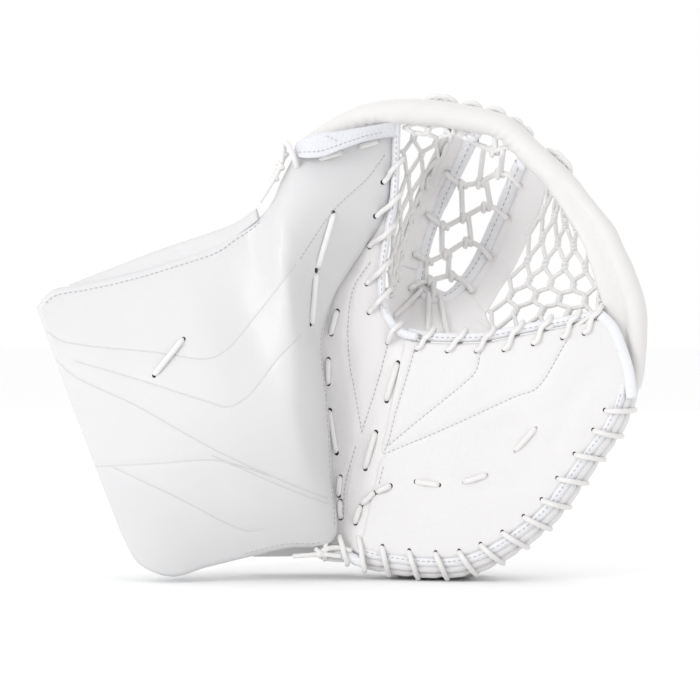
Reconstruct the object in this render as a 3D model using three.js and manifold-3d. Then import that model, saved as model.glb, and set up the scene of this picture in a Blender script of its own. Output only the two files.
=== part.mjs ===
// Ice hockey goalie catch glove, palm side facing -Y, standing on the lower edge of its cuff and palm.
// Millimetres, +Z up, +X towards the finger side.
import * as THREE from 'three';
import Module from 'manifold-3d';
import { mergeVertices } from 'three/addons/utils/BufferGeometryUtils.js';

const wasm = await Module();
wasm.setup();

// ---- driving dimensions ----
const GAP = 0.4; // clearance between neighbouring pieces
const GROW = 1.15; // outward step that leaves at least GAP clear on flat faces
const LACE_R = 1.5;
const LACE_SIDES = 5;
const NET_R = 1.5;
const NET_SIDES = 4;
const TAIL_SIDES = 8;
const BOARD_SKIN = 9; // moulded board of the cuff and thumb
const LINER_DEPTH = 8;
const LINER_GAP = 3;
const PALM_LEATHER = 5;
const PALM_FOAM = 8;
const ROLL_R = 9; // padded roll round the open edge of the pocket
const BINDING_R = 4;
const WELT_R = 3.5;
const VALLEY_Y = 18; // front of the leather along the break
const PALM_RISE = 40; // how far the palm comes forward between the break and the finger tips
const PALM_REACH = 185;
const POCKET_DEPTH_Y = 106;
const SHELL_WALL = 8;

// The break is the line the glove folds about: it rises from the heel to the middle of the roll.
const BREAK_HEEL = new THREE.Vector3(-4, VALLEY_Y, 24);
const BREAK_TOP = new THREE.Vector3(78, VALLEY_Y, 306);
const BREAK_SLOPE = (BREAK_TOP.x - BREAK_HEEL.x) / (BREAK_TOP.z - BREAK_HEEL.z);

// ---- small helpers ----
const clamp = THREE.MathUtils.clamp;
const lerp = THREE.MathUtils.lerp;
const at = (x, y, z) => new THREE.Vector3(x, y, z);
const breakX = (z) => BREAK_HEEL.x + BREAK_SLOPE * (z - BREAK_HEEL.z);

function palmFront(x, z) {
  const out = clamp((x - breakX(z)) / PALM_REACH, 0, 1);
  return VALLEY_Y - PALM_RISE * out ** 0.8;
}

// A curve through [x, y, z] points, and a curve through flat [x, z] points.
const spline = (points) =>
  new THREE.CatmullRomCurve3(points.map((p) => at(...p)), false, 'centripetal');
const flatSpline = (points) => spline(points.map(([x, z]) => [x, 0, z]));

// A path that visits every given point in turn, so a tube turns exactly where it is told to.
class Route extends THREE.Curve {
  constructor(points) {
    super();
    this.points = points;
  }

  getPoint(t) {
    const last = this.points.length - 1;
    const place = clamp(t, 0, 1) * last;
    const index = Math.min(Math.floor(place), last - 1);
    return new THREE.Vector3().lerpVectors(this.points[index], this.points[index + 1], place - index);
  }

  getPointAt(u) {
    return this.getPoint(u);
  }

  getTangentAt(u) {
    return this.getTangent(u);
  }
}

function signedVolume(position, index) {
  const [a, b, c] = [at(0, 0, 0), at(0, 0, 0), at(0, 0, 0)];
  let sum = 0;
  for (let i = 0; i < index.count; i += 3) {
    a.fromBufferAttribute(position, index.getX(i));
    b.fromBufferAttribute(position, index.getX(i + 1));
    c.fromBufferAttribute(position, index.getX(i + 2));
    sum += a.dot(b.cross(c));
  }
  return sum / 6;
}

// Position-only, welded and facing outwards.
function clean(geometry) {
  const bare = new THREE.BufferGeometry();
  bare.setAttribute('position', geometry.getAttribute('position').clone());
  if (geometry.index) bare.setIndex(geometry.index.clone());
  const welded = mergeVertices(bare, 1e-3);
  if (signedVolume(welded.getAttribute('position'), welded.index) < 0) {
    const order = welded.index.array;
    for (let i = 0; i < order.length; i += 3) [order[i], order[i + 1]] = [order[i + 1], order[i]];
  }
  return welded;
}

function toSolid(geometry) {
  const welded = clean(geometry);
  const mesh = new wasm.Mesh({
    numProp: 3,
    vertProperties: new Float32Array(welded.getAttribute('position').array),
    triVerts: new Uint32Array(welded.index.array),
  });
  return new wasm.Manifold(mesh);
}

function toGeometry(solid) {
  const mesh = solid.getMesh();
  const geometry = new THREE.BufferGeometry();
  geometry.setAttribute('position', new THREE.BufferAttribute(mesh.vertProperties, 3));
  geometry.setIndex(new THREE.BufferAttribute(mesh.triVerts, 1));
  return geometry;
}

function biggestPiece(solid) {
  const pieces = solid.decompose();
  return pieces.reduce((best, piece) => (piece.volume() > best.volume() ? piece : best));
}

function union(geometries) {
  const solids = geometries.map(toSolid);
  return toGeometry(biggestPiece(solids.reduce((sum, next) => sum.add(next))));
}

// Outward direction at every vertex, each face counted by the angle of its corner there.
function cornerNormals(geometry) {
  const position = geometry.getAttribute('position');
  const index = geometry.index.array;
  const normals = Array.from({ length: position.count }, () => at(0, 0, 0));
  const corner = (k) => at(0, 0, 0).fromBufferAttribute(position, index[k]);
  for (let i = 0; i < index.length; i += 3) {
    const triangle = [corner(i), corner(i + 1), corner(i + 2)];
    const face = triangle[1].clone().sub(triangle[0]).cross(triangle[2].clone().sub(triangle[0]));
    if (face.lengthSq() < 1e-12) continue;
    face.normalize();
    triangle.forEach((point, k) => {
      const one = triangle[(k + 1) % 3].clone().sub(point);
      const two = triangle[(k + 2) % 3].clone().sub(point);
      normals[index[i + k]].addScaledVector(face, one.angleTo(two));
    });
  }
  return normals.map((normal) => normal.normalize());
}

// Every vertex moved outwards along its normal.
function grown(geometry, distance = GROW) {
  const fat = clean(geometry);
  const position = fat.getAttribute('position');
  cornerNormals(fat).forEach((normal, i) => {
    const moved = at(0, 0, 0).fromBufferAttribute(position, i).addScaledVector(normal, distance);
    position.setXYZ(i, ...moved.toArray());
  });
  return fat;
}

// The body with clearance for its neighbours cut out of it; loose offcuts are dropped.
function clearOf(geometry, neighbours, distance = GROW) {
  const cut = neighbours.reduce(
    (rest, other) => rest.subtract(toSolid(grown(other, distance))),
    toSolid(geometry),
  );
  return toGeometry(biggestPiece(cut));
}

// A closed panel between a front and a back surface, each a function of (across, along) in 0..1.
function panel(front, back, across, along) {
  const positions = [];
  const faces = [];
  const row = across + 1;
  const layer = row * (along + 1);
  for (const surface of [front, back]) {
    for (let j = 0; j <= along; j += 1) {
      for (let i = 0; i <= across; i += 1) positions.push(...surface(i / across, j / along).toArray());
    }
  }
  const quad = (a, b, c, d) => faces.push(a, b, c, a, c, d);
  for (let j = 0; j < along; j += 1) {
    for (let i = 0; i < across; i += 1) {
      const corner = j * row + i;
      quad(corner, corner + 1, corner + row + 1, corner + row);
      quad(layer + corner, layer + corner + row, layer + corner + row + 1, layer + corner + 1);
    }
  }
  for (let i = 0; i < across; i += 1) {
    const top = along * row + i;
    quad(i, layer + i, layer + i + 1, i + 1);
    quad(top, top + 1, layer + top + 1, layer + top);
  }
  for (let j = 0; j < along; j += 1) {
    const left = j * row;
    const right = left + across;
    quad(left, left + row, layer + left + row, layer + left);
    quad(right, layer + right, layer + right + row, right + row);
  }
  const geometry = new THREE.BufferGeometry();
  geometry.setAttribute('position', new THREE.Float32BufferAttribute(positions, 3));
  geometry.setIndex(faces);
  return clean(geometry);
}

// A panel of even thickness towards +Y.
const sheet = (front, thickness, across, along) =>
  panel(front, (u, v) => front(u, v).add(at(0, thickness, 0)), across, along);

function tube(points, radius, sides) {
  const circle = new THREE.Shape();
  for (let i = 0; i < sides; i += 1) {
    const turn = (2 * Math.PI * i) / sides;
    const [x, y] = [radius * Math.cos(turn), radius * Math.sin(turn)];
    if (i === 0) circle.moveTo(x, y);
    else circle.lineTo(x, y);
  }
  circle.closePath();
  const extrudePath = new Route(points);
  return clean(new THREE.ExtrudeGeometry(circle, { steps: points.length - 1, extrudePath, bevelEnabled: false }));
}

const smoothTube = (points, steps, radius, sides) => tube(spline(points).getSpacedPoints(steps), radius, sides);

// An oval bar along a path; the half width runs across the path in the XZ plane, the half depth along Y.
function ovalBar(path, halfWidth, halfDepth, steps, sides) {
  const ring = (u, v) => {
    const centre = path.getPoint(v);
    const tangent = path.getTangent(v);
    const side = at(tangent.z, 0, -tangent.x).normalize();
    const turn = 2 * Math.PI * u;
    return centre
      .addScaledVector(side, halfWidth(v) * Math.cos(turn))
      .add(at(0, halfDepth(v) * Math.sin(turn), 0));
  };
  const positions = [];
  const faces = [];
  for (let j = 0; j <= steps; j += 1) {
    for (let i = 0; i < sides; i += 1) positions.push(...ring(i / sides, j / steps).toArray());
  }
  positions.push(...path.getPoint(0).toArray(), ...path.getPoint(1).toArray());
  const [start, end] = [sides * (steps + 1), sides * (steps + 1) + 1];
  for (let i = 0; i < sides; i += 1) {
    const next = (i + 1) % sides;
    for (let j = 0; j < steps; j += 1) {
      const [a, b] = [j * sides + i, j * sides + next];
      faces.push(a, b, b + sides, a, b + sides, a + sides);
    }
    faces.push(start, next, i, end, steps * sides + i, steps * sides + next);
  }
  const geometry = new THREE.BufferGeometry();
  geometry.setAttribute('position', new THREE.Float32BufferAttribute(positions, 3));
  geometry.setIndex(faces);
  return clean(geometry);
}

const box = (centre, size) => {
  const geometry = new THREE.BoxGeometry(...size.toArray());
  geometry.translate(...centre.toArray());
  return clean(geometry);
};

// ---- cuff and thumb board ----
// Two edges of the moulded board, paired row by row from the open end of the cuff to the tip of the thumb.
const BOARD_OUTER = spline([
  [-201, -9, 181], [-192, -8, 193], [-172, -8, 197], [-150, -7, 202], [-130, -6, 207],
  [-107, -6, 214], [-83, -5, 222], [-71, -4, 229], [-60, -3, 235], [-51, -2, 243],
  [-45, -1, 252], [-41, 0, 262], [-37, 1, 270], [-34, 2, 276], [-31, 3, 279],
]);
const BOARD_INNER = spline([
  [-147, -6, 28], [-137, -5, 9], [-114, -5, 0], [-90, -4, 7], [-64, -2, 14],
  [-38, 2, 21], [-6, 12, 26], [-7, 16, 66], [-10, 18, 112], [-15, 18, 158],
  [-6, 18, 186], [13, 18, 217], [25, 16, 240], [29, 15, 268], [30, 14, 290],
]);
const WRIST_ROW = 9 / 14; // row where the cuff ends and the thumb begins

function boardFront(u, v) {
  const place = BOARD_OUTER.getPoint(v).lerp(BOARD_INNER.getPoint(v), u);
  const crown = 8 + 28 * Math.sin(Math.PI * v) ** 1.2;
  place.y -= crown * Math.sin(Math.PI * u ** 1.3);
  return place;
}

const cuffThumbBoard = () => sheet(boardFront, BOARD_SKIN, 7, 28);

function cuffLiner() {
  const front = (u, v) =>
    boardFront(lerp(0.07, 0.8, u), lerp(0.05, WRIST_ROW, v)).add(at(0, BOARD_SKIN + LINER_GAP, 0));
  return sheet(front, LINER_DEPTH, 5, 12);
}

function cuffEdgeBand() {
  const low = flatSpline([[-180, 195.8], [-157, 201.2], [-120, 210.8], [-83, 222.8], [-68, 231.8], [-54, 241.4]]);
  const high = flatSpline([[-181, 197.6], [-157, 206], [-121, 220], [-84, 232], [-70, 237], [-56, 246]]);
  const front = (u, v) => low.getPoint(v).lerp(high.getPoint(v), u).setY(-2 + 3 * u);
  return sheet(front, 18, 2, 12);
}

// Fabric side wall down the outer edge of the thumb, from the board back to the back pad.
function thumbSideGusset() {
  const inside = (u, v) => {
    const edge = BOARD_OUTER.getPoint(lerp(WRIST_ROW, 0.97, v));
    return at(edge.x + 2, lerp(edge.y + BOARD_SKIN + 0.6, 42, u), edge.z - 1);
  };
  return panel(inside, (u, v) => inside(u, v).add(at(4, 0, -1)), 3, 6);
}

function thumbBackPad() {
  const front = (u, v) =>
    boardFront(lerp(0, 0.88, u), lerp(WRIST_ROW, 0.99, v)).setY(43);
  const back = (u, v) => {
    const round = Math.sin(Math.PI * clamp(u, 0, 1)) * Math.sin(Math.PI * clamp(v, 0, 1));
    return front(u, v).setY(51 + 9 * Math.sqrt(Math.abs(round)));
  };
  return panel(front, back, 6, 8);
}

// Sleeve the thumb sits in, open at its lower end.
function thumbStall() {
  const path = spline([[-24, 32.5, 168], [-16, 32, 215], [-2, 31, 276]]);
  const hollow = spline([[-26, 32.5, 158], [-17, 32, 211], [-4, 31, 270]]);
  const sleeve = ovalBar(path, (v) => lerp(19, 16, v), () => 9.5, 4, 12);
  const bore = ovalBar(hollow, (v) => lerp(16, 13, v), () => 7, 4, 12);
  return toGeometry(toSolid(sleeve).subtract(toSolid(bore)));
}

function thumbTipWrap() {
  const low = spline([[-31, -7, 279.6], [-10, -18, 284], [10, -13, 288], [29.5, 3, 290.6]]);
  const high = spline([[-30, -6, 287], [-10, -12, 294], [10, -8, 298.5], [29, 2, 300]]);
  return sheet((u, v) => low.getPoint(v).lerp(high.getPoint(v), u), 5, 2, 6);
}

// Binding along the inner edge of the thumb, where the pocket is laced on.
const THUMB_EDGE = spline([[27, 18, 181], [25, 17, 200], [27.5, 16, 224], [33, 15, 250], [35, 14, 292]]);
const thumbInnerBinding = () => ovalBar(THUMB_EDGE, () => 2.8, () => 6, 9, 8);

// Lace that winds round a bundle lying along a path: out over the front, round the edge, back inside.
// `reach` gives the four sides of the loop: inner, outer, front and back distances from the path.
function windingLace(path, turns, reach, sideOf) {
  const points = [];
  const corner = 0.6;
  for (let i = 0; i < turns; i += 1) {
    const loop = [
      [reach.inner, reach.back * corner, 0], [reach.inner, reach.front * corner, 0.14],
      [reach.inner * corner, reach.front, 0.2], [reach.outer * corner, reach.front, 0.34],
      [reach.outer, reach.front * corner, 0.42], [reach.outer, reach.back * corner, 0.56],
      [reach.outer * corner, reach.back, 0.64], [reach.inner * corner, reach.back, 0.88],
    ];
    for (const [side, depth, lead] of loop) {
      const t = (i + lead) / turns;
      const centre = path(t);
      points.push(centre.addScaledVector(sideOf(t), side).add(at(0, depth, 0)));
    }
  }
  return tube(points, LACE_R, LACE_SIDES);
}

function outwardOf(curve, turn) {
  return (t) => {
    const tangent = curve.getTangent(clamp(t, 0, 1));
    return at(tangent.z * turn, 0, -tangent.x * turn).normalize();
  };
}

const thumbEdgeLace = () =>
  windingLace(
    (t) => THUMB_EDGE.getPoint(0.04 + 0.86 * t),
    6,
    { inner: -6.5, outer: 4.8, front: -9.5, back: 9.5 },
    outwardOf(THUMB_EDGE, 1),
  );

// A stitched lace on a surface: over the front between holes 0-1, 2-3, ..., behind it between the others.
function runningLace(holes, surface, thickness) {
  const points = [];
  const over = LACE_R + GAP + 1.2;
  holes.forEach(([x, z], i) => {
    const front = surface(x, z) - over;
    const back = surface(x, z) + thickness + over;
    const [first, second] = i % 2 === 0 ? [back, front] : [front, back];
    points.push(at(x, first, z), at(x, second, z));
    const next = holes[i + 1];
    if (next) {
      const [mx, mz] = [(x + next[0]) / 2, (z + next[1]) / 2];
      const lift = i % 2 === 0 ? surface(mx, mz) - over - 0.4 : surface(mx, mz) + thickness + over + 0.4;
      points.push(at(mx, lift, mz));
    }
  });
  return tube(points, LACE_R, LACE_SIDES);
}

// Depth of the board's front at a place, found by walking its rows.
function boardDepthAt(x, z) {
  let best = at(0, 0, 0);
  let nearest = Infinity;
  const [rows, columns] = [140, 60];
  for (let j = 0; j <= rows; j += 1) {
    for (let i = 0; i <= columns; i += 1) {
      const place = boardFront(i / columns, j / rows);
      const distance = Math.hypot(place.x - x, place.z - z);
      if (distance < nearest) [nearest, best] = [distance, place];
    }
  }
  return best.y;
}

const thumbFaceLace = () =>
  runningLace([[-5.6, 243], [-17, 206], [-18.5, 195], [-21, 170]], boardDepthAt, BOARD_SKIN);
const cuffLace = () => runningLace([[-103, 160.5], [-122, 137]], boardDepthAt, BOARD_SKIN);

// ---- pocket: one bowl that every net strand and strap lies on ----
const POCKET_CENTRE = at(80, 0, 230);
const POCKET_RIM = new THREE.CatmullRomCurve3(
  [
    [34, 20, 165], [52, 9, 160], [75, 4, 159], [103, -1, 161], [136, -6, 167], [166, -11, 176],
    [176, -7, 192], [172, -5, 214], [161, -3, 234], [146, 0, 251], [128, 4, 268], [110, 8, 281],
    [92, 10, 291], [60, 12, 296], [38, 12, 296], [34, 14, 270], [30, 15, 240], [27, 16, 210], [29, 18, 182],
  ].map((p) => at(...p)),
  true,
  'centripetal',
);
const RIM_SAMPLES = POCKET_RIM.getPoints(180).map((p) => {
  const [dx, dz] = [p.x - POCKET_CENTRE.x, p.z - POCKET_CENTRE.z];
  return { angle: Math.atan2(dz, dx), reach: Math.hypot(dx, dz), y: p.y };
});

function pocketDepth(x, z) {
  const [dx, dz] = [x - POCKET_CENTRE.x, z - POCKET_CENTRE.z];
  const angle = Math.atan2(dz, dx);
  const turnTo = (sample) => {
    const turn = Math.abs(sample.angle - angle);
    return Math.min(turn, 2 * Math.PI - turn);
  };
  const sorted = [...RIM_SAMPLES].sort((a, b) => turnTo(a) - turnTo(b));
  const [near, far] = sorted;
  const share = turnTo(near) / (turnTo(near) + turnTo(far) + 1e-9);
  const reach = lerp(near.reach, far.reach, share);
  const rimY = lerp(near.y, far.y, share);
  const ratio = clamp(Math.hypot(dx, dz) / reach, 0, 1);
  return rimY + (POCKET_DEPTH_Y - rimY) * (1 - ratio ** 2.2) ** 0.75;
}

// A strand of net between flat [x, z] points, lying on the bowl.
function strand(points, steps, radius = NET_R) {
  const path = flatSpline(points);
  const lifted = path.getPoints(steps).map((p) => at(p.x, pocketDepth(p.x, p.z), p.z));
  return tube(lifted, radius, NET_SIDES);
}

// Crossing strands between two edges, making a row of diamonds.
function diamondNet(left, right, cells, steps) {
  const strands = [];
  for (let i = 0; i < cells; i += 1) {
    const [low, high] = [i / cells, (i + 1) / cells];
    const ends = (a, b) => {
      const [from, to] = [left.getPoint(a), right.getPoint(b)];
      return [[from.x, from.z], [to.x, to.z]];
    };
    strands.push(strand(ends(low, high), steps), strand(ends(high, low), steps));
  }
  return union(strands);
}

const STRAP_THUMB_LEFT = flatSpline([[67, 297], [55, 270], [46, 245], [38, 222], [36, 209]]);
const STRAP_THUMB_RIGHT = flatSpline([[88, 296], [73, 266], [62, 242], [54, 217], [55, 204]]);
const STRAP_FINGER_LEFT = flatSpline([[115, 276], [107, 256], [101, 236], [90, 213], [80, 195]]);
const STRAP_FINGER_RIGHT = flatSpline([[134, 262], [134, 250], [130, 236], [116, 207], [100, 190]]);
const STRAP_LIFT = 6; // straps lie this far in front of the net
const STRAP_LEATHER = 3.5;

function strap(left, right) {
  const front = (u, v) => {
    const place = left.getPoint(v).lerp(right.getPoint(v), u);
    return place.setY(pocketDepth(place.x, place.z) - STRAP_LIFT);
  };
  return sheet(front, STRAP_LEATHER, 3, 10);
}

function pocketBase() {
  const low = flatSpline([[30, 180], [36, 173], [47, 169.5], [62, 169], [78, 169], [92, 170], [106, 173], [121, 181]]);
  const high = flatSpline([[31, 193], [36, 207.5], [55, 202.5], [64, 193], [74, 190], [80, 193.5], [100, 188.5], [118, 192]]);
  const front = (u, v) => {
    const place = low.getPoint(v).lerp(high.getPoint(v), u);
    return place.setY(pocketDepth(place.x, place.z) - STRAP_LIFT);
  };
  return sheet(front, STRAP_LEATHER, 3, 14);
}

function pocketNetThumb() {
  const left = flatSpline([[36, 186], [33, 205], [35, 235], [39, 262], [43, 290]]);
  const right = flatSpline([[40, 196], [42, 214], [50, 240], [60, 265], [72, 290]]);
  return diamondNet(left, right, 6, 3);
}

function pocketNetPalm() {
  const left = flatSpline([[134, 258], [130, 238], [122, 214], [112, 196], [100, 182]]);
  const right = flatSpline([[152, 243], [163, 224], [168, 205], [168, 188], [150, 174]]);
  return diamondNet(left, right, 5, 4);
}

function pocketNetCentre() {
  const knots = [[104, 289], [101, 284], [93, 264], [83.5, 240], [70, 216.5], [60, 199]];
  const rungs = [
    [[86, 290], [101, 284], [116, 278]],
    [[76, 268], [93, 264], [112, 258]],
    [[64, 237], [83.5, 240], [103, 236]],
    [[54, 212], [70, 216.5], [91, 212]],
  ];
  return union([strand(knots, 10), ...rungs.map((rung) => strand(rung, 4))]);
}

// ---- padded roll round the open edge ----
const ROLL = spline([
  [-18, 9, 292], [5, 10, 304], [18, 10, 308], [37, 10, 310], [59, 10, 309], [88, 9, 304], [105, 7, 301],
  [114, 6, 293], [126, 4, 281], [143, 1, 265], [157, -2, 247], [170, -4, 229],
]);
function rollPart(from, to, steps) {
  const points = [];
  for (let i = 0; i <= steps; i += 1) points.push(ROLL.getPoint(lerp(from, to, i / steps)));
  return tube(points, ROLL_R, 10);
}
const rollThumb = () => rollPart(0, 0.365, 10);
const rollFlex = () => rollPart(0.37, 0.53, 6);
const rollFinger = () => rollPart(0.535, 1, 12);

// Flattened end of the roll that covers the finger tips.
function fingerTipWing() {
  const path = spline([[171, -4, 226.5], [181, -4, 206], [186, -4, 182], [188, -5, 160], [190, -5, 140], [190, -5, 124]]);
  const width = (v) => 9.5 + 5 * Math.sin(Math.PI * v * 0.75);
  const depth = (v) => lerp(8.5, 6.5, v);
  return ovalBar(path, width, depth, 10, 10);
}

// ---- finger side ----
const PALM_TOP = flatSpline([
  [42, 161], [55, 158], [75, 157], [95, 158], [115, 162], [135, 166], [155, 170], [172, 173], [184, 155], [188, 132],
]);
const PALM_LOW = flatSpline([
  [8, 17], [30, 11], [55, 9], [80, 11.5], [103, 21.5], [124, 36.5], [143, 57.5], [161, 79], [175, 98], [184.5, 117],
]);

const palmPlace = (u, v) => {
  const place = PALM_TOP.getPoint(v).lerp(PALM_LOW.getPoint(v), u);
  return place.setY(palmFront(place.x, place.z));
};

const palmFace = () => sheet(palmPlace, PALM_LEATHER, 5, 14);

function palmLiner() {
  const front = (u, v) =>
    palmPlace(lerp(0.09, 0.84, u), lerp(0.06, 0.68, v)).add(at(0, PALM_LEATHER + GAP, 0));
  return sheet(front, PALM_FOAM, 4, 8);
}

// Outline of the finger side seen from the front, from the finger tips round to the heel.
const OUTLINE = flatSpline([
  [197, 138], [193, 117], [183.5, 96], [170, 78], [158, 61], [144.5, 42.5], [129, 28], [110, 14.5],
  [93, 6], [77, 1.8], [61, 0.9], [41, 2], [16.5, 6], [4, 10],
]);
const outlineOutward = outwardOf(OUTLINE, -1);
function rimPlace(t, inset, back) {
  const place = OUTLINE.getPoint(t).addScaledVector(outlineOutward(t), -inset);
  return place.setY(palmFront(place.x, place.z) + back);
}

function rimTube(inset, back, radius, sides) {
  const points = [];
  const steps = 24;
  for (let i = 0; i <= steps; i += 1) points.push(rimPlace(lerp(0.1, 0.98, i / steps), inset, back));
  return tube(points, radius, sides);
}

const perimeterBinding = () => rimTube(8.6, 10, BINDING_R, 6);
const perimeterWeltFront = () => rimTube(7.6, 18, WELT_R, 6);
const perimeterWeltBack = () => rimTube(7, 25.5, WELT_R, 6);

const perimeterLace = () =>
  windingLace(
    (t) => rimPlace(lerp(0.12, 0.96, t), 9, 17),
    14,
    { inner: -9, outer: 7.8, front: -20.6, back: 19.3 },
    (t) => outlineOutward(lerp(0.12, 0.96, t)),
  );

const TOP_EDGE = flatSpline([[44, 160], [55, 157.5], [75, 156.5], [95, 157.5], [115, 161.5], [135, 165.5], [155, 169.5], [170, 172.5]]);
const topEdgePlace = (t, up, back) => {
  const place = TOP_EDGE.getPoint(t).add(at(0, 0, up));
  return place.setY(palmFront(place.x, place.z) + back);
};

function palmTopBinding() {
  const points = [];
  for (let i = 0; i <= 12; i += 1) points.push(topEdgePlace(i / 12, 4.4, 4));
  return tube(points, 3, 8);
}

const palmTopLace = () =>
  windingLace(
    (t) => topEdgePlace(lerp(0.02, 0.97, t), 1.5, 4),
    9,
    { inner: -6, outer: 7, front: -6.4, back: 6.4 },
    () => at(0, 0, 1),
  );

// Side of the index finger, closing the space between the palm and the back shell below the pocket.
function fingerTopPanel() {
  const low = (u, v) => {
    const place = topEdgePlace(lerp(0.03, 0.97, v), -7, 0);
    return place.add(at(0, lerp(15, 29, u), 0));
  };
  return panel(low, (u, v) => low(u, v).add(at(0, 0, 4)), 1, 8);
}

// Domed back of the fingers: a hollow shell open towards the wrist and the palm.
const SHELL_TOP = flatSpline([
  [36, 158], [55, 156], [75, 155], [95, 156], [115, 160], [135, 164], [155, 168], [171, 172], [183, 154], [189, 131],
]);
const SHELL_LOW = flatSpline([
  [30, 4.4], [42, -0.8], [60, -1.6], [80, -0.8], [103, 11.5], [125, 26.5], [145, 45], [163, 70], [178, 90], [189, 116],
]);
const SHELL_EDGE_Y = 29.7;

function shellBack(u, v) {
  const across = 1 - Math.abs(2 * u - 1) ** 2.5;
  return 60 - 14 * v ** 2 + 24 * across * (1 - v ** 5);
}

function shellPlace(u, v) {
  return SHELL_TOP.getPoint(v).lerp(SHELL_LOW.getPoint(v), u);
}

function fingerBackShell() {
  const front = (u, v) => {
    const place = shellPlace(u, v);
    return place.setY(palmFront(place.x, place.z) + SHELL_EDGE_Y);
  };
  const back = (u, v) => shellPlace(u, v).setY(shellBack(u, v));
  const whole = panel(front, back, 8, 18);
  const inset = (u, v) => [lerp(0.06, 0.93, u), lerp(0, 0.93, v)];
  const openLeft = (place, v) => (v === 0 ? place.add(at(-12, 0, 0)) : place);
  const hollowFront = (u, v) => openLeft(front(...inset(u, v)).add(at(0, -8, 0)), v);
  const hollowBack = (u, v) => {
    const [a, b] = inset(u, v);
    return openLeft(shellPlace(a, b).setY(shellBack(a, b) - SHELL_WALL), v);
  };
  const hollow = panel(hollowFront, hollowBack, 6, 12);
  const floor = box(at(70, 50, -10), at(400, 200, 20));
  return toGeometry(biggestPiece(toSolid(whole).subtract(toSolid(hollow)).subtract(toSolid(floor))));
}

// Raised pads across the back of the fingers.
function fingerBackPad(from, to) {
  const front = (u, v) => {
    const [a, b] = [lerp(from, to, u), lerp(0.08, 0.72, v)];
    return shellPlace(a, b).setY(shellBack(a, b) + GAP + 0.3);
  };
  const back = (u, v) => {
    const edge = Math.min(Math.sin(Math.PI * u), Math.sin(Math.PI * v));
    return front(u, v).add(at(0, 4 + 5 * Math.sqrt(Math.max(edge, 0)), 0));
  };
  return panel(front, back, 4, 8);
}

// Walls between the four finger stalls.
function fingerDivider(height, tip) {
  const place = (u, v) => {
    const x = lerp(92, tip, v);
    return at(x, lerp(palmFront(x, height) + PALM_LEATHER + PALM_FOAM + 1, 60, u), height - 8 * v);
  };
  return panel(place, (u, v) => place(u, v).add(at(0, 0, 4)), 2, 3);
}

// ---- pieces that cross the break ----
const GUSSET_LEFT = flatSpline([[-4.5, 27], [-5.5, 66], [-8.5, 112], [-13.2, 158], [-4.4, 186], [8, 207], [17, 222]]);
const GUSSET_RIGHT = flatSpline([[7.2, 18], [17, 60], [28, 105], [41, 160], [31.5, 172], [20.8, 184], [20.6, 205]]);

function breakGusset() {
  const front = (u, v) => {
    const place = GUSSET_LEFT.getPoint(v).lerp(GUSSET_RIGHT.getPoint(v), u);
    return place.setY(VALLEY_Y + 2.5 * Math.sin(Math.PI * u));
  };
  return sheet(front, 4, 4, 16);
}

const gussetFront = (x, z) => {
  const left = -9;
  return VALLEY_Y + 2.5 * Math.sin(Math.PI * clamp((x - left) / (breakX(z) + 6 - left), 0, 1));
};

const breakLace = () =>
  runningLace(
    [[-0.5, 42], [-1, 54], [-1, 68], [-3, 83], [-4.5, 97], [-5.5, 113], [-6.5, 130], [-7, 146], [-5, 163], [-1.5, 178]],
    gussetFront,
    4,
  );

const palmSideLace = () =>
  runningLace([[8.4, 38], [12, 50.5], [12.5, 60], [14.5, 74], [20, 98], [22, 106], [26, 119], [33, 144]], gussetFront, 4);

function backGusset() {
  const front = (u, v) => at(lerp(4, 36, u), 55 + 2 * Math.sin(Math.PI * u), lerp(18, 146, v));
  return sheet(front, 2.5, 4, 6);
}

// ---- back of the hand and wrist strap ----
function backhandPad() {
  const left = spline([[-62, 64, 9], [-70, 63, 50], [-68, 63, 100], [-50, 62, 150]]);
  const right = spline([[12, 62, 9], [12, 62, 50], [12, 62, 100], [8, 62, 150]]);
  const front = (u, v) => left.getPoint(v).lerp(right.getPoint(v), u);
  const back = (u, v) => {
    const edge = Math.sqrt(Math.max(Math.sin(Math.PI * u) * Math.sin(Math.PI * v), 0));
    return front(u, v).add(at(0, 8 + 8 * edge, 0));
  };
  return panel(front, back, 6, 8);
}

const STRAP_X = -112;
const STRAP_HALF = 16;
const STRAP_Y = 70;
const RING_Z = 62;

// A flat strap in the YZ plane through [y, z] points, even in thickness and width.
function flatStrap(points, thickness, halfWidth, steps) {
  const path = spline(points.map(([y, z]) => [0, y, z]));
  const side = (u, v, lift) => {
    const tangent = path.getTangent(v);
    const normal = at(0, -tangent.z, tangent.y).normalize();
    return path.getPoint(v).addScaledVector(normal, lift).add(at(STRAP_X + lerp(-halfWidth, halfWidth, u), 0, 0));
  };
  return panel((u, v) => side(u, v, 0), (u, v) => side(u, v, thickness), 1, steps);
}

const wristStrap = () =>
  flatStrap([[9, 190], [20, 193], [42, 186], [62, 166], [STRAP_Y, 135], [STRAP_Y, 100], [STRAP_Y, RING_Z + 8]], 2.5, STRAP_HALF, 14);
const wristStrapTab = () =>
  flatStrap([[9, 27], [20, 20], [42, 22], [58, 32], [67, 46], [STRAP_Y, RING_Z - 7]], 2.5, STRAP_HALF, 10);
const wristStrapFlap = () =>
  flatStrap([[STRAP_Y + 5.5, RING_Z + 5], [STRAP_Y + 6, 54], [72, 42], [63, 29]], 2.5, STRAP_HALF - 1, 6);

function wristStrapRing() {
  const outer = box(at(STRAP_X, STRAP_Y - 1, RING_Z), at(2 * STRAP_HALF + 10, 3, 11));
  const window = box(at(STRAP_X, STRAP_Y - 1, RING_Z), at(2 * STRAP_HALF + 3, 9, 5));
  return toGeometry(toSolid(outer).subtract(toSolid(window)));
}

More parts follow.
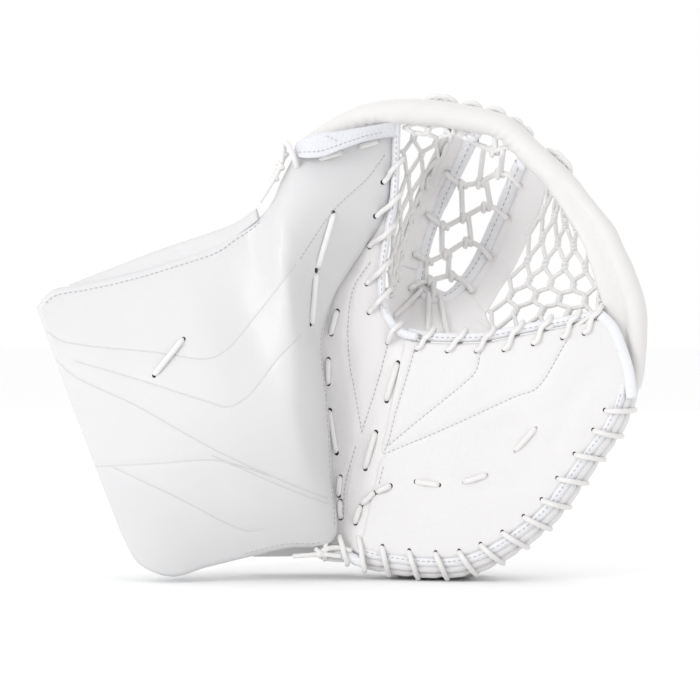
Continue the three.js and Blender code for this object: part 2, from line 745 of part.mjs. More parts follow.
// ---- knots and free ends ----
function thumbTipLace() {
  return smoothTube(
    [
      [20, -9.5, 291], [2, -19.5, 288], [-12, -21.5, 284], [-26, -14.5, 282], [-38, -7, 280], [-43, 3, 279], [-40, 6, 272],
      [-45, 1, 268], [-48, -5, 266], [-44, -9, 270], [-41, -6, 264],
    ],
    34,
    LACE_R,
    LACE_SIDES,
  );
}

const thumbLaceTail = () =>
  smoothTube([[-46, -9, 262], [-52, -12, 255], [-55, -13, 246], [-56, -13, 238], [-57, -12, 231]], 10, LACE_R, TAIL_SIDES);
const heelLace = () =>
  smoothTube(
    [[6, 12, 20], [-4, 11.5, 22], [-12, 8.5, 20.5], [-15, 13, 17], [-10, 18, 14.5], [0, 20, 13.5], [6, 18, 14]],
    18,
    LACE_R,
    LACE_SIDES,
  );
const heelLaceTail = () =>
  smoothTube([[-17, 7.5, 19], [-24, 5, 15.5], [-33, 3, 14], [-42, 3, 12.5], [-49, 5, 11]], 10, LACE_R, TAIL_SIDES);

// ---- materials ----
const WHITE_BOARD = { color: 0xf0f0f0, roughness: 0.45 };
const WHITE_LEATHER = { color: 0xfaf9fa, roughness: 0.5 };
const WARM_LEATHER = { color: 0xf3f1ee, roughness: 0.5 };
const LACE = { color: 0xeceae8, roughness: 0.8 };
const FABRIC = { color: 0xe9ecef, roughness: 0.9 };
const NYLON = { color: 0xdfe1e4, roughness: 0.85 };
const PLASTIC = { color: 0xe4e4e4, roughness: 0.4 };

const pieces = {};
const looks = {};
function piece(name, geometry, look) {
  pieces[name] = geometry;
  looks[name] = look;
}

// ---- thumb side ----
piece('cuff_thumb_board', cuffThumbBoard(), WHITE_BOARD);
piece('cuff_edge_band', cuffEdgeBand(), FABRIC);
piece('cuff_liner', cuffLiner(), FABRIC);
piece('thumb_side_gusset', thumbSideGusset(), FABRIC);
piece('thumb_back_pad', thumbBackPad(), WHITE_LEATHER);
piece('thumb_stall', thumbStall(), FABRIC);
piece('thumb_tip_wrap', thumbTipWrap(), FABRIC);
piece('thumb_inner_binding', thumbInnerBinding(), FABRIC);
piece('thumb_edge_lace', thumbEdgeLace(), LACE);
piece('thumb_face_lace', thumbFaceLace(), LACE);
piece('thumb_tip_lace', thumbTipLace(), LACE);
piece('thumb_lace_tail', thumbLaceTail(), LACE);
piece('cuff_lace', cuffLace(), LACE);
piece('pocket_net_thumb', pocketNetThumb(), LACE);
piece('t_strap_thumb', strap(STRAP_THUMB_LEFT, STRAP_THUMB_RIGHT), WHITE_LEATHER);
piece('roll_thumb', rollThumb(), WARM_LEATHER);
piece('backhand_pad', backhandPad(), NYLON);
piece('wrist_strap', wristStrap(), NYLON);
piece('wrist_strap_tab', wristStrapTab(), NYLON);
piece('wrist_strap_flap', wristStrapFlap(), NYLON);
piece('wrist_strap_ring', wristStrapRing(), PLASTIC);

// ---- finger side ----
piece('palm_face', palmFace(), WHITE_LEATHER);
piece('palm_liner', palmLiner(), FABRIC);
piece('palm_top_binding', palmTopBinding(), FABRIC);
piece('palm_top_lace', palmTopLace(), LACE);
piece('perimeter_binding', perimeterBinding(), FABRIC);
piece('perimeter_welt_front', perimeterWeltFront(), WHITE_LEATHER);
piece('perimeter_welt_back', perimeterWeltBack(), WHITE_LEATHER);
piece('perimeter_lace', perimeterLace(), LACE);
piece('finger_top_panel', fingerTopPanel(), FABRIC);
piece('finger_back_shell', fingerBackShell(), WHITE_LEATHER);
piece('finger_back_pad_index', fingerBackPad(0.1, 0.35), WHITE_LEATHER);
piece('finger_back_pad_middle', fingerBackPad(0.38, 0.63), WHITE_LEATHER);
piece('finger_back_pad_little', fingerBackPad(0.66, 0.9), WHITE_LEATHER);
piece('finger_divider_index', fingerDivider(122, 158), FABRIC);
piece('finger_divider_middle', fingerDivider(90, 150), FABRIC);
piece('finger_divider_little', fingerDivider(60, 130), FABRIC);
piece('pocket_net_palm', pocketNetPalm(), LACE);
piece('t_strap_finger', strap(STRAP_FINGER_LEFT, STRAP_FINGER_RIGHT), WHITE_LEATHER);
piece('roll_finger', rollFinger(), WARM_LEATHER);
piece('finger_tip_wing', fingerTipWing(), WARM_LEATHER);

// ---- across the break ----
piece('break_gusset', breakGusset(), WHITE_LEATHER);
piece('break_lace', breakLace(), LACE);
piece('palm_side_lace', palmSideLace(), LACE);
piece('heel_lace', heelLace(), LACE);
piece('heel_lace_tail', heelLaceTail(), LACE);
piece('pocket_net_centre', pocketNetCentre(), LACE);
piece('pocket_base', pocketBase(), WHITE_LEATHER);
piece('roll_flex', rollFlex(), WARM_LEATHER);
piece('back_gusset', backGusset(), FABRIC);

// ---- holes and clearances ----
const cuts = {
  cuff_thumb_board: ['thumb_edge_lace', 'thumb_face_lace', 'cuff_lace'],
  cuff_edge_band: ['cuff_thumb_board'],
  thumb_stall: ['cuff_thumb_board'],
  palm_top_binding: ['palm_top_lace'],
  cuff_liner: ['cuff_thumb_board', 'thumb_face_lace', 'cuff_lace', 'wrist_strap', 'wrist_strap_tab'],
  thumb_tip_wrap: ['thumb_tip_lace', 'cuff_thumb_board'],
  palm_face: ['palm_top_lace', 'perimeter_lace', 'palm_top_binding'],
  finger_top_panel: ['palm_top_lace'],
  finger_back_shell: ['perimeter_lace'],
  break_gusset: ['cuff_thumb_board', 'palm_face', 'thumb_edge_lace', 'break_lace', 'palm_side_lace', 'heel_lace'],
  t_strap_thumb: ['pocket_base', 'roll_thumb', 'roll_flex'],
  t_strap_finger: ['pocket_base', 'roll_finger'],
  roll_flex: ['roll_thumb', 'roll_finger'],
  finger_tip_wing: ['roll_finger', 'palm_face', 'perimeter_welt_front'],
  pocket_net_thumb: ['t_strap_thumb', 'pocket_base', 'thumb_inner_binding', 'thumb_edge_lace', 'roll_thumb'],
  pocket_net_centre: ['t_strap_thumb', 't_strap_finger', 'pocket_base', 'roll_flex', 'roll_finger'],
  pocket_net_palm: ['t_strap_finger', 'pocket_base', 'palm_top_lace', 'roll_finger', 'finger_tip_wing'],
};
const whole = { ...pieces };
for (const [name, neighbours] of Object.entries(cuts)) {
  pieces[name] = clearOf(whole[name], neighbours.map((other) => whole[other]));
}

// ---- assembly: origin under the middle of the glove, on the floor ----
const FREE_ENDS = ['thumb_lace_tail', 'heel_lace_tail'];
const bounds = new THREE.Box3();
for (const [name, geometry] of Object.entries(pieces)) {
  if (FREE_ENDS.includes(name)) continue;
  geometry.computeBoundingBox();
  bounds.union(geometry.boundingBox);
}
const middle = bounds.getCenter(at(0, 0, 0));
const group = new THREE.Group();
group.name = 'goalie_catch_glove';
for (const [name, geometry] of Object.entries(pieces)) {
  geometry.translate(-middle.x, -middle.y, -bounds.min.z);
  const mesh = new THREE.Mesh(geometry, new THREE.MeshStandardMaterial({ ...looks[name], metalness: 0 }));
  mesh.name = name;
  group.add(mesh);
}

export default group;
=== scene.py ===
"""Ice hockey goalie catch glove: its looks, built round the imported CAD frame. Lengths are millimetres."""
import math
import bmesh
import bpy
import numpy as np
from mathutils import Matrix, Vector, noise
from mathutils.bvhtree import BVHTree


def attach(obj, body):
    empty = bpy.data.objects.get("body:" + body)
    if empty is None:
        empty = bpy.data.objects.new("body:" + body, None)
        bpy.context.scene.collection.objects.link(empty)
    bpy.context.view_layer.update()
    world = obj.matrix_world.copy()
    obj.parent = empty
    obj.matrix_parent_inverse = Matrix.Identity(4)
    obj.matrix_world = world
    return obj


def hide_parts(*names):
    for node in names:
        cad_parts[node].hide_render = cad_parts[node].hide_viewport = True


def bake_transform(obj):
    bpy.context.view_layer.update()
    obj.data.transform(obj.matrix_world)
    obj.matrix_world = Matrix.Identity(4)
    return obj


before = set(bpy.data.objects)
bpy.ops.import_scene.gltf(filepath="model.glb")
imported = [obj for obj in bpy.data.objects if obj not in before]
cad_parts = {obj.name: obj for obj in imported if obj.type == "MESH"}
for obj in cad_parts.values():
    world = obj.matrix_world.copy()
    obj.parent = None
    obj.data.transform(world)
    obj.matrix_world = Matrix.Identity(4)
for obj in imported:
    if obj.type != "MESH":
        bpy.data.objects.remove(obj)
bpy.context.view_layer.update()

MM = 0.001
FAR_OUTSIDE = 0.4  # metres, well outside the glove on either side
SHIFT = np.array([-1.6188, -36.6958, 0.0])  # from the outline's own zero to the frame
VALLEY_Y = 18.0
BREAK_HEEL = np.array([-4.0, 18.0, 24.0])
BREAK_TOP = np.array([78.0, 18.0, 306.0])
BREAK_SLOPE = (BREAK_TOP[0] - BREAK_HEEL[0]) / (BREAK_TOP[2] - BREAK_HEEL[2])
BREAK_SIDE = np.array([1.0, 0.0, -BREAK_SLOPE]) / math.hypot(1.0, BREAK_SLOPE)
BEND_HALF = 9.0  # half width of the band that bends as the glove folds
PALM_RISE = 40.0
PALM_REACH = 185.0
POCKET_DEPTH_Y = 106.0
LACE_R = 1.55
WOUND_LACE = 1.12  # a lace that winds over an edge, as a share of the lace's radius
DOME = 0.6  # how far a tube's end is domed, as a share of its radius
RIB_TURN = 2.1  # a knit edging's ribs: turn of its wave from one point of its path to the next
STITCH_LENGTH = 2.1
STITCH_RADIUS = 0.3
STITCH_LIFT = 0.12
BACK_PITCH = 3.6
LACE_DIVE = 3.2  # how far a lace sinks into its hole


# ---------------------------------------------------------------- camera, light and floor
def camera_and_light():
    cam = bpy.data.cameras.new("camera")
    cam.lens = 187.0
    cam.sensor_width = 36.0
    holder = bpy.data.objects.new("camera", cam)
    bpy.context.collection.objects.link(holder)
    aim = Vector((0.0037, 0.0, 0.152))
    height = math.radians(1.5)
    away = 2.424
    holder.location = aim + Vector((0, -away * math.cos(height), away * math.sin(height)))
    holder.rotation_euler = (aim - holder.location).to_track_quat("-Z", "Y").to_euler()
    bpy.context.scene.camera = holder

    def area(name, place, target, size, power):
        light = bpy.data.lights.new(name, "AREA")
        light.shape = "DISK"
        light.size = size
        light.energy = power
        lamp = bpy.data.objects.new(name, light)
        lamp.location = place
        lamp.rotation_euler = (Vector(target) - Vector(place)).to_track_quat("-Z", "Y").to_euler()
        bpy.context.collection.objects.link(lamp)

    area("key", (-1.3, -1.35, 0.72), (0, 0, 0.15), 0.9, 12)
    area("fill", (1.3, -1.8, 0.9), (0, 0, 0.15), 1.6, 1.6)
    area("back", (0.2, 1.6, 1.4), (0, 0, 0.15), 1.6, 4)
    world = bpy.data.worlds.new("studio")
    world.use_nodes = True
    world.node_tree.nodes["Background"].inputs[0].default_value = (1.0, 1.0, 1.0, 1)
    world.node_tree.nodes["Background"].inputs[1].default_value = 1.0
    bpy.context.scene.view_settings.view_transform = "Standard"
    bpy.context.scene.world = world


def floor():
    mesh = bpy.data.meshes.new("floor")
    half = 6.0
    corners = [(-half, -half, 0), (half, -half, 0), (half, half, 0), (-half, half, 0)]
    mesh.from_pydata(corners, [], [(0, 1, 2, 3)])
    obj = bpy.data.objects.new("floor", mesh)
    bpy.context.collection.objects.link(obj)
    material = bpy.data.materials.new("floor")
    material.use_nodes = True
    shader = material.node_tree.nodes["Principled BSDF"]
    shader.inputs["Base Color"].default_value = (0.98, 0.98, 0.98, 1)
    shader.inputs["Roughness"].default_value = 0.9
    shader.inputs["Specular IOR Level"].default_value = 0.1
    mesh.materials.append(material)


camera_and_light()
floor()


# ---------------------------------------------------------------- curves
def lerp(a, b, t):
    return a + (b - a) * t


def spline(points, closed=False):
    """Centripetal Catmull-Rom curve, the same as the CAD outlines use; returns a function of 0..1."""
    pts = np.array(points, float)
    count = len(pts)

    def place(t):
        span = (count if closed else count - 1) * min(max(t, 0.0), 1.0)
        i = int(span)
        w = span - i
        if closed:
            i %= count
        elif i >= count - 1:
            i, w = count - 2, 1.0
        p1 = pts[i]
        p2 = pts[(i + 1) % count]
        p0 = pts[i - 1] if (closed or i > 0) else 2 * pts[0] - pts[1]
        p3 = pts[(i + 2) % count] if (closed or i + 2 < count) else 2 * pts[-1] - pts[-2]
        d0 = max(np.linalg.norm(p1 - p0) ** 0.5, 1e-4)
        d1 = max(np.linalg.norm(p2 - p1) ** 0.5, 1e-4)
        d2 = max(np.linalg.norm(p3 - p2) ** 0.5, 1e-4)
        m1 = ((p1 - p0) / d0 - (p2 - p0) / (d0 + d1) + (p2 - p1) / d1) * d1
        m2 = ((p2 - p1) / d1 - (p3 - p1) / (d1 + d2) + (p3 - p2) / d2) * d1
        return (
            p1 + m1 * w + (-3 * p1 + 3 * p2 - 2 * m1 - m2) * w * w + (2 * p1 - 2 * p2 + m1 + m2) * w ** 3
        )

    return place


def flat_spline(points):
    return spline([(x, 0, z) for x, z in points])


def sampled(curve, count):
    return np.array([curve(i / (count - 1)) for i in range(count)])


def resampled(points, spacing):
    """The same polyline with points about `spacing` apart."""
    points = np.asarray(points, float)
    steps = np.linalg.norm(np.diff(points, axis=0), axis=1)
    along = np.concatenate([[0], np.cumsum(steps)])
    count = max(int(round(along[-1] / spacing)) + 1, 2)
    wanted = np.linspace(0, along[-1], count)
    return np.stack([np.interp(wanted, along, points[:, k]) for k in range(points.shape[1])], axis=1)


def smooth_line(points, spacing):
    """A smooth curve through the points, sampled about every `spacing`."""
    curve = spline(points)
    return resampled(sampled(curve, max(len(points) * 14, 30)), spacing)


def flat_line(points, spacing):
    """A smooth curve through flat (x, z) points, as (x, z) rows."""
    return smooth_line([(x, 0, z) for x, z in points], spacing)[:, [0, 2]]


def directions(points):
    """Unit direction of a line of points at each of them."""
    ways = np.gradient(points, axis=0)
    return ways / np.maximum(np.linalg.norm(ways, axis=1, keepdims=True), 1e-9)


def full_turn(sides):
    return np.linspace(0, 2 * np.pi, sides, endpoint=False)


def ease(t):
    """0..1 to 0..1, with a soft start and a soft end."""
    return t * t * (3 - 2 * t)


def break_x(z):
    return BREAK_HEEL[0] + BREAK_SLOPE * (z - BREAK_HEEL[2])


def palm_front(x, z):
    out = np.clip((x - break_x(z)) / PALM_REACH, 0, 1)
    return VALLEY_Y - PALM_RISE * out ** 0.8


def line_distance(x, z, line):
    """Distance of each (x, z) to a flat polyline."""
    best = np.full(np.shape(x), 1e9)
    line = np.asarray(line, float)
    for a, b in zip(line[:-1], line[1:]):
        d = b - a
        t = np.clip(((x - a[0]) * d[0] + (z - a[1]) * d[1]) / max(d @ d, 1e-9), 0, 1)
        best = np.minimum(best, np.hypot(x - a[0] - t * d[0], z - a[1] - t * d[1]))
    return best


def ditch(x, z, line, width, depth):
    """How deep a sewn or pressed line sinks into a surface."""
    return depth * np.exp(-((line_distance(x, z, line) / width) ** 2))


def press(grid, lines, width, depth):
    """Sinks smooth lines through flat (x, z) points into the front of a grid."""
    for line in lines:
        grid[..., 1] += ditch(grid[..., 0], grid[..., 2], flat_line(line, 3), width, depth)


def lumps(grid, scale, seed):
    """Smooth noise at each point of a grid, in -1..1."""
    offset = Vector((seed * 7.3, seed * 3.1, seed * 1.7))
    values = [noise.noise(Vector(p) / scale + offset) for p in grid.reshape(-1, 3)]
    return np.array(values).reshape(grid.shape[:-1])


# ---------------------------------------------------------------- meshes
def new_object(name, verts, faces, material):
    """A smooth object with its faces turned outwards."""
    mesh = bpy.data.meshes.new(name)
    places = [tuple(v) for v in (np.asarray(verts) + SHIFT) * MM]
    mesh.from_pydata(places, [], [tuple(map(int, f)) for f in faces])
    mesh.update()
    work = bmesh.new()
    work.from_mesh(mesh)
    bmesh.ops.recalc_face_normals(work, faces=work.faces)
    work.to_mesh(mesh)
    work.free()
    for polygon in mesh.polygons:
        polygon.use_smooth = True
    mesh.materials.append(material)
    obj = bpy.data.objects.new(name, mesh)
    bpy.context.collection.objects.link(obj)
    return obj


def grid_faces(rows, columns, start=0, flip=False):
    faces = []
    for j in range(rows - 1):
        for i in range(columns - 1):
            a = start + j * columns + i
            quad = (a, a + 1, a + columns + 1, a + columns)
            faces.append(quad[::-1] if flip else quad)
    return faces


def grid_rim(rows, columns):
    """Row and column of each point round the edge of a grid, in order."""
    rim = [(0, i) for i in range(columns)]
    rim += [(j, columns - 1) for j in range(1, rows)]
    rim += [(rows - 1, i) for i in range(columns - 2, -1, -1)]
    return rim + [(j, 0) for j in range(rows - 2, 0, -1)]


def closed_panel(name, front, back, material):
    """A closed skin between two grids of points, [row][column][xyz]."""
    rows, columns = front.shape[:2]
    count = rows * columns
    verts = np.concatenate([front.reshape(-1, 3), back.reshape(-1, 3)])
    faces = grid_faces(rows, columns) + grid_faces(rows, columns, count, flip=True)
    loop = [j * columns + i for j, i in grid_rim(rows, columns)]
    for a, b in zip(loop, loop[1:] + loop[:1]):
        faces.append((b, a, count + a, count + b))
    return new_object(name, verts, faces, material)


def ring_faces(count, sides, start=0):
    """Faces between rings of points, each ring closed on itself."""
    faces = []
    for j in range(count - 1):
        for i in range(sides):
            k = (i + 1) % sides
            near, far = start + j * sides, start + (j + 1) * sides
            faces.append((near + i, near + k, far + k, far + i))
    return faces


def loft(rings, first, last):
    """Vertices and faces of a closed skin over rings of points, with a point to close each end."""
    count, sides = len(rings), len(rings[0])
    verts = np.concatenate(rings + [first[None], last[None]])
    faces = ring_faces(count, sides)
    for i in range(sides):
        k = (i + 1) % sides
        faces.append((count * sides, k, i))
        faces.append((count * sides + 1, (count - 1) * sides + i, (count - 1) * sides + k))
    return verts, faces


def flat_loft(rings):
    """The same with flat ends."""
    return loft(rings, rings[0].mean(0), rings[-1].mean(0))


def tube_mesh(points, radius, sides=10):
    """Vertices and faces of a closed tube with domed ends. radius is a number or one per point."""
    points = np.asarray(points, float)
    count = len(points)
    radius = np.broadcast_to(np.asarray(radius, float), (count,))
    tangents = directions(points)
    guide = np.array([0.0, 1.0, 0.0])
    if abs(tangents[0] @ guide) > 0.9:
        guide = np.array([1.0, 0.0, 0.0])
    normal = guide - tangents[0] * (guide @ tangents[0])
    normal /= np.linalg.norm(normal)
    rings = []
    turn = full_turn(sides)
    for i in range(count):
        normal = normal - tangents[i] * (normal @ tangents[i])
        normal /= max(np.linalg.norm(normal), 1e-9)
        side = np.cross(tangents[i], normal)
        rings.append(
            points[i] + radius[i] * (np.outer(np.cos(turn), normal) + np.outer(np.sin(turn), side))
        )
    first = points[0] - tangents[0] * radius[0] * DOME
    last = points[-1] + tangents[-1] * radius[-1] * DOME
    return loft(rings, first, last)


def ribbed(path, radius, ribs=0.04):
    """Radius at each point of a knit edging, which swells a little at each rib."""
    return radius * (1 + ribs * np.sin(np.arange(len(path)) * RIB_TURN))


def merged(parts):
    verts, faces, base = [], [], 0
    for v, f in parts:
        verts.append(v)
        faces += [tuple(base + k for k in face) for face in f]
        base += len(v)
    return np.concatenate(verts), faces


def solid(name, parts, material):
    """One object made of several closed skins."""
    verts, faces = merged(parts)
    return new_object(name, verts, faces, material)


def wound_lace(route, thick=WOUND_LACE, spacing=1.0):
    """A round lace through the points of a route."""
    return tube_mesh(smooth_line(route, spacing), LACE_R * thick, 12)


def knot_mesh(centre, radius, axis_a, axis_b):
    """A small wrapped knot: two crossing loops of lace."""
    a = np.asarray(axis_a, float) / np.linalg.norm(axis_a)
    b = np.asarray(axis_b, float) - a * (np.asarray(axis_b, float) @ a)
    b /= np.linalg.norm(b)
    c = np.cross(a, b)
    turns = np.linspace(0, 2 * np.pi, 15)
    parts = []
    for shift, lean in ((-0.42, 0.35), (0.42, -0.35)):
        loop = [
            np.asarray(centre) + radius * (1.05 * math.cos(t) * b + 1.05 * math.sin(t) * c)
            + a * radius * (shift + lean * math.cos(t))
            for t in turns
        ]
        parts.append(tube_mesh(loop, radius * 0.62, 8))
    return merged(parts)


def tree_of(*objects):
    """A search tree over the finished surfaces, in metres."""
    verts, faces, base = [], [], 0
    for obj in objects:
        verts += [v.co.copy() for v in obj.data.vertices]
        faces += [[base + k for k in polygon.vertices] for polygon in obj.data.polygons]
        base += len(obj.data.vertices)
    return BVHTree.FromPolygons(verts, faces)


def laid(points, tree, lift, way=1):
    """Flat (x, z) points dropped along Y onto a surface, then lifted off it by `lift` along its normal.

    way is 1 from the front and -1 from the back. A point that misses goes to the nearest place from the
    front, and is left out from the back.
    """
    result = []
    for x, z in points:
        origin = Vector(((x + SHIFT[0]) * MM, -FAR_OUTSIDE * way, (z + SHIFT[2]) * MM))
        hit, normal, _, _ = tree.ray_cast(origin, Vector((0, way, 0)))
        if hit is None and way < 0:
            continue
        if hit is None:
            hit, normal, _, _ = tree.find_nearest(Vector((origin.x, SHIFT[1] * MM, origin.z)))
        if normal.y * way > 0:
            normal = -normal
        result.append(np.array(hit) / MM - SHIFT + np.array(normal) * lift)
    return np.array(result)


# ---------------------------------------------------------------- materials
def add_node(material, kind, **inputs):
    """A new shader node. Each input is a value to set or another node's output to link."""
    node = material.node_tree.nodes.new(kind)
    for name, value in inputs.items():
        socket = node.inputs[name.replace("_", " ")]
        if isinstance(value, bpy.types.NodeSocket):
            material.node_tree.links.new(value, socket)
        else:
            socket.default_value = value
    return node


def base_material(name, color, darker, scale, roughness, specular, sheen=0.0, coat=0.0):
    """A material with slow, faint changes of tone and gloss; returns it, its shader and its coordinates."""
    material = bpy.data.materials.new(name)
    material.use_nodes = True
    links = material.node_tree.links
    shader = material.node_tree.nodes["Principled BSDF"]
    shader.inputs["Specular IOR Level"].default_value = specular
    shader.inputs["Sheen Weight"].default_value = sheen
    shader.inputs["Coat Weight"].default_value = coat
    coords = add_node(material, "ShaderNodeTexCoord").outputs["Object"]
    cloud = add_node(material, "ShaderNodeTexNoise", Scale=scale, Detail=4.0, Vector=coords).outputs["Fac"]
    ramp = add_node(material, "ShaderNodeValToRGB", Fac=cloud)
    for element, position, tone in zip(ramp.color_ramp.elements, (0.3, 0.7), (darker, color)):
        element.position = position
        element.color = (*tone, 1)
    links.new(ramp.outputs["Color"], shader.inputs["Base Color"])
    span = {"To_Min": roughness - 0.06, "To_Max": roughness + 0.08}
    gloss = add_node(material, "ShaderNodeMapRange", Value=cloud, **span)
    links.new(gloss.outputs["Result"], shader.inputs["Roughness"])
    return material, shader, coords


def leather(name, color, darker, roughness, grain=1.0, wrinkles=0.0):
    """Fine pebble grain from a cell texture, with soft long wrinkles where asked."""
    tone_size = 14.0
    material, shader, coords = base_material(
        name, color, darker, tone_size, roughness, specular=0.35, coat=0.04
    )
    cells = add_node(material, "ShaderNodeTexVoronoi", Scale=900.0, Vector=coords)
    cells.feature = "DISTANCE_TO_EDGE"
    pebble = add_node(material, "ShaderNodeMapRange", From_Max=0.25, Value=cells.outputs["Distance"])
    height = pebble.outputs["Result"]
    bump = add_node(material, "ShaderNodeBump", Strength=0.22 * grain, Distance=0.0002, Height=height)
    if wrinkles:
        folds = {"Scale": 60.0, "Detail": 5.0, "Distortion": 1.2}
        creases = add_node(material, "ShaderNodeTexNoise", Vector=coords, **folds).outputs["Fac"]
        depth = {"Strength": wrinkles, "Distance": 0.0012}
        bump = add_node(material, "ShaderNodeBump", Height=creases, Normal=bump.outputs["Normal"], **depth)
    material.node_tree.links.new(bump.outputs["Normal"], shader.inputs["Normal"])
    return material


def woven(name, color, darker, pitch, roughness=0.85, strength=0.5):
    """Two crossed thread waves make a plain weave of the given pitch in millimetres."""
    tone_size = 30.0
    material, shader, coords = base_material(
        name, color, darker, tone_size, roughness, specular=0.2, sheen=0.15
    )
    links = material.node_tree.links
    both = add_node(material, "ShaderNodeMath")
    both.operation = "MAXIMUM"
    for socket, direction in zip(both.inputs, ("DIAGONAL", "Z")):
        count = 1000.0 / pitch / 6.4
        wave = add_node(material, "ShaderNodeTexWave", Scale=count, Distortion=0.4, Vector=coords)
        wave.bands_direction = direction
        links.new(wave.outputs["Fac"], socket)
    height = both.outputs["Value"]
    bump = add_node(material, "ShaderNodeBump", Strength=strength, Distance=0.0004, Height=height)
    links.new(bump.outputs["Normal"], shader.inputs["Normal"])
    return material


BOARD = leather("board_leather", (0.66, 0.66, 0.668), (0.635, 0.635, 0.643), 0.42, grain=0.5)
PALM = leather("palm_leather", (0.74, 0.73, 0.732), (0.72, 0.71, 0.712), 0.5, wrinkles=0.12)
# Same white leather as the palm, painted lighter as painted light to make up for the shade the board casts on
# the gusset.
GUSSET = leather("gusset_leather", (0.77, 0.755, 0.755), (0.74, 0.725, 0.725), 0.5, wrinkles=0.25)
ROLL = leather("roll_leather", (0.75, 0.735, 0.725), (0.725, 0.71, 0.7), 0.48, wrinkles=0.35)
# Same white leather, painted lighter as painted light to make up for the shade the straps lie in inside the
# pocket.
STRAP = leather("strap_leather", (0.83, 0.81, 0.815), (0.8, 0.78, 0.785), 0.5, wrinkles=0.2)
BINDING = woven("knit_binding", (0.79, 0.795, 0.82), (0.75, 0.755, 0.78), 0.9)
WRAP = woven("ribbed_wrap", (0.71, 0.72, 0.755), (0.67, 0.68, 0.715), 1.6)
NYLON = woven("nylon_web", (0.72, 0.73, 0.75), (0.66, 0.67, 0.7), 1.2)
LINER = woven("liner_knit", (0.78, 0.79, 0.81), (0.72, 0.73, 0.75), 1.4)
LACE = woven("waxed_lace", (0.79, 0.78, 0.77), (0.75, 0.74, 0.73), 0.7, roughness=0.6, strength=0.3)
# Stitch thread: its grey is partly the thread's own tone and partly painted shade of the stitch holes it sits
# in.
THREAD = woven("sewing_thread", (0.5, 0.49, 0.5), (0.4, 0.39, 0.4), 0.4, roughness=0.8, strength=0.2)
PALE_THREAD = woven("pale_thread", (0.5, 0.49, 0.5), (0.42, 0.41, 0.42), 0.4, roughness=0.8, strength=0.2)
HOLE = leather("hole_shadow", (0.05, 0.035, 0.03), (0.03, 0.02, 0.018), 0.9)
PLASTIC = leather("ring_plastic", (0.78, 0.78, 0.78), (0.74, 0.74, 0.74), 0.35, grain=0.2)

THUMB = "thumb_side"
FINGER = "finger_side"
BEND_MIDDLE = (BREAK_HEEL + BREAK_TOP) / 2
# Each band that bends: where it starts to leave the thumb's side and where it has joined the fingers' side.
AT_BREAK = (BEND_MIDDLE - BREAK_SIDE * BEND_HALF, BEND_MIDDLE + BREAK_SIDE * BEND_HALF)
POCKET_SIDE = np.array([1.0, 0.0, -0.42]) / math.hypot(1.0, 0.42)  # square to the two pocket straps
AT_POCKET = (np.array([71.5, 18.0, 255.5]), np.array([71.5, 18.0, 255.5]) + POCKET_SIDE * 32.3)
AT_ROLL = (np.array([61.0, 10.0, 309.0]), np.array([92.0, 8.0, 305.0]))


def bend(obj, band=AT_BREAK):
    """obj crosses the break; its transform is only baked into its mesh."""
    start, end = (tuple(float(c) for c in (point + SHIFT) * MM) for point in band)
    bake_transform(obj)


def soft_edge(distance, radius):
    """How far a surface falls back near its edge, for a rounded rim of this radius."""
    inside = np.clip(1 - distance / radius, 0, 1)
    return radius * (1 - np.sqrt(np.maximum(1 - inside ** 2, 0)))


def even_steps(count):
    """0..1 with samples crowded towards both ends."""
    t = np.linspace(0, 1, count)
    return 0.65 * t + 0.35 * (0.5 - 0.5 * np.cos(np.pi * t))


def edge_fall(grid, rim):
    """Rounded fall-off from the distance of each grid point to the four sides of the grid."""
    flat = grid[..., [0, 2]]
    sides = [flat[0], flat[-1], flat[:, 0], flat[:, -1]]
    distance = np.full(flat.shape[:2], 1e9)
    for side in sides:
        if np.linalg.norm(side[0] - side[-1]) < 1e-6:
            continue
        distance = np.minimum(distance, line_distance(flat[..., 0], flat[..., 1], side))
    return soft_edge(distance, rim)


def place_piece(obj, body, slot_name, *nodes):
    """body is a body's name, or the band where a piece crosses the break."""
    if isinstance(body, tuple):
        bend(obj, body)
    else:
        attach(obj, body)
    if nodes:
        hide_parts(*nodes)
    return obj


def sew(name, line, tree, body, pitch=3.0, thread=PALE_THREAD):
    """Thread stitches along a flat line, each a small spindle lying in the leather."""
    fine = laid(resampled(flat_line(line, 1.0), pitch / 2), tree, STITCH_LIFT)
    parts = []
    for a, b in zip(fine[:-1:2], fine[1::2]):
        middle = (a + b) / 2
        reach = (b - a) / max(np.linalg.norm(b - a), 1e-9) * STITCH_LENGTH
        ends = [middle - reach / 2, middle - reach * 0.3, middle + reach * 0.3, middle + reach / 2]
        parts.append(tube_mesh(ends, np.array([0.45, 1.0, 1.0, 0.45]) * STITCH_RADIUS, 6))
    place_piece(solid(name, parts, thread), body, "lace_cord")


def punch(name, places, tree, body, size=1.5, tone=HOLE):
    """Punched lace holes: small dimples in a dark tone, which is painted shade of each hole's depth; they
    follow the slope of the surface.
    """
    parts = []
    count = 12
    for x, z in places:
        spot = laid([(x, z)], tree, 0.16)[0]
        lean = laid([(x + 0.6, z), (x - 0.6, z), (x, z + 0.6), (x, z - 0.6)], tree, 0.16)
        slope_x = np.clip((lean[0, 1] - lean[1, 1]) / 1.2, -0.8, 0.8)
        slope_z = np.clip((lean[2, 1] - lean[3, 1]) / 1.2, -0.8, 0.8)
        across = np.array([1.0, slope_x, 0.0]) * size * 0.85
        along = np.array([0.0, slope_z, 1.0]) * size
        ring = [spot + across * math.cos(t) + along * math.sin(t) for t in full_turn(count)]
        inward = np.array([0, 0.5, 0])
        verts = np.array(ring + [p + inward for p in ring])
        faces = [tuple(range(count)), tuple(range(2 * count - 1, count - 1, -1))]
        faces += ring_faces(2, count)
        parts.append((verts, faces))
    place_piece(solid(name, parts, tone), body, "lace_cord")


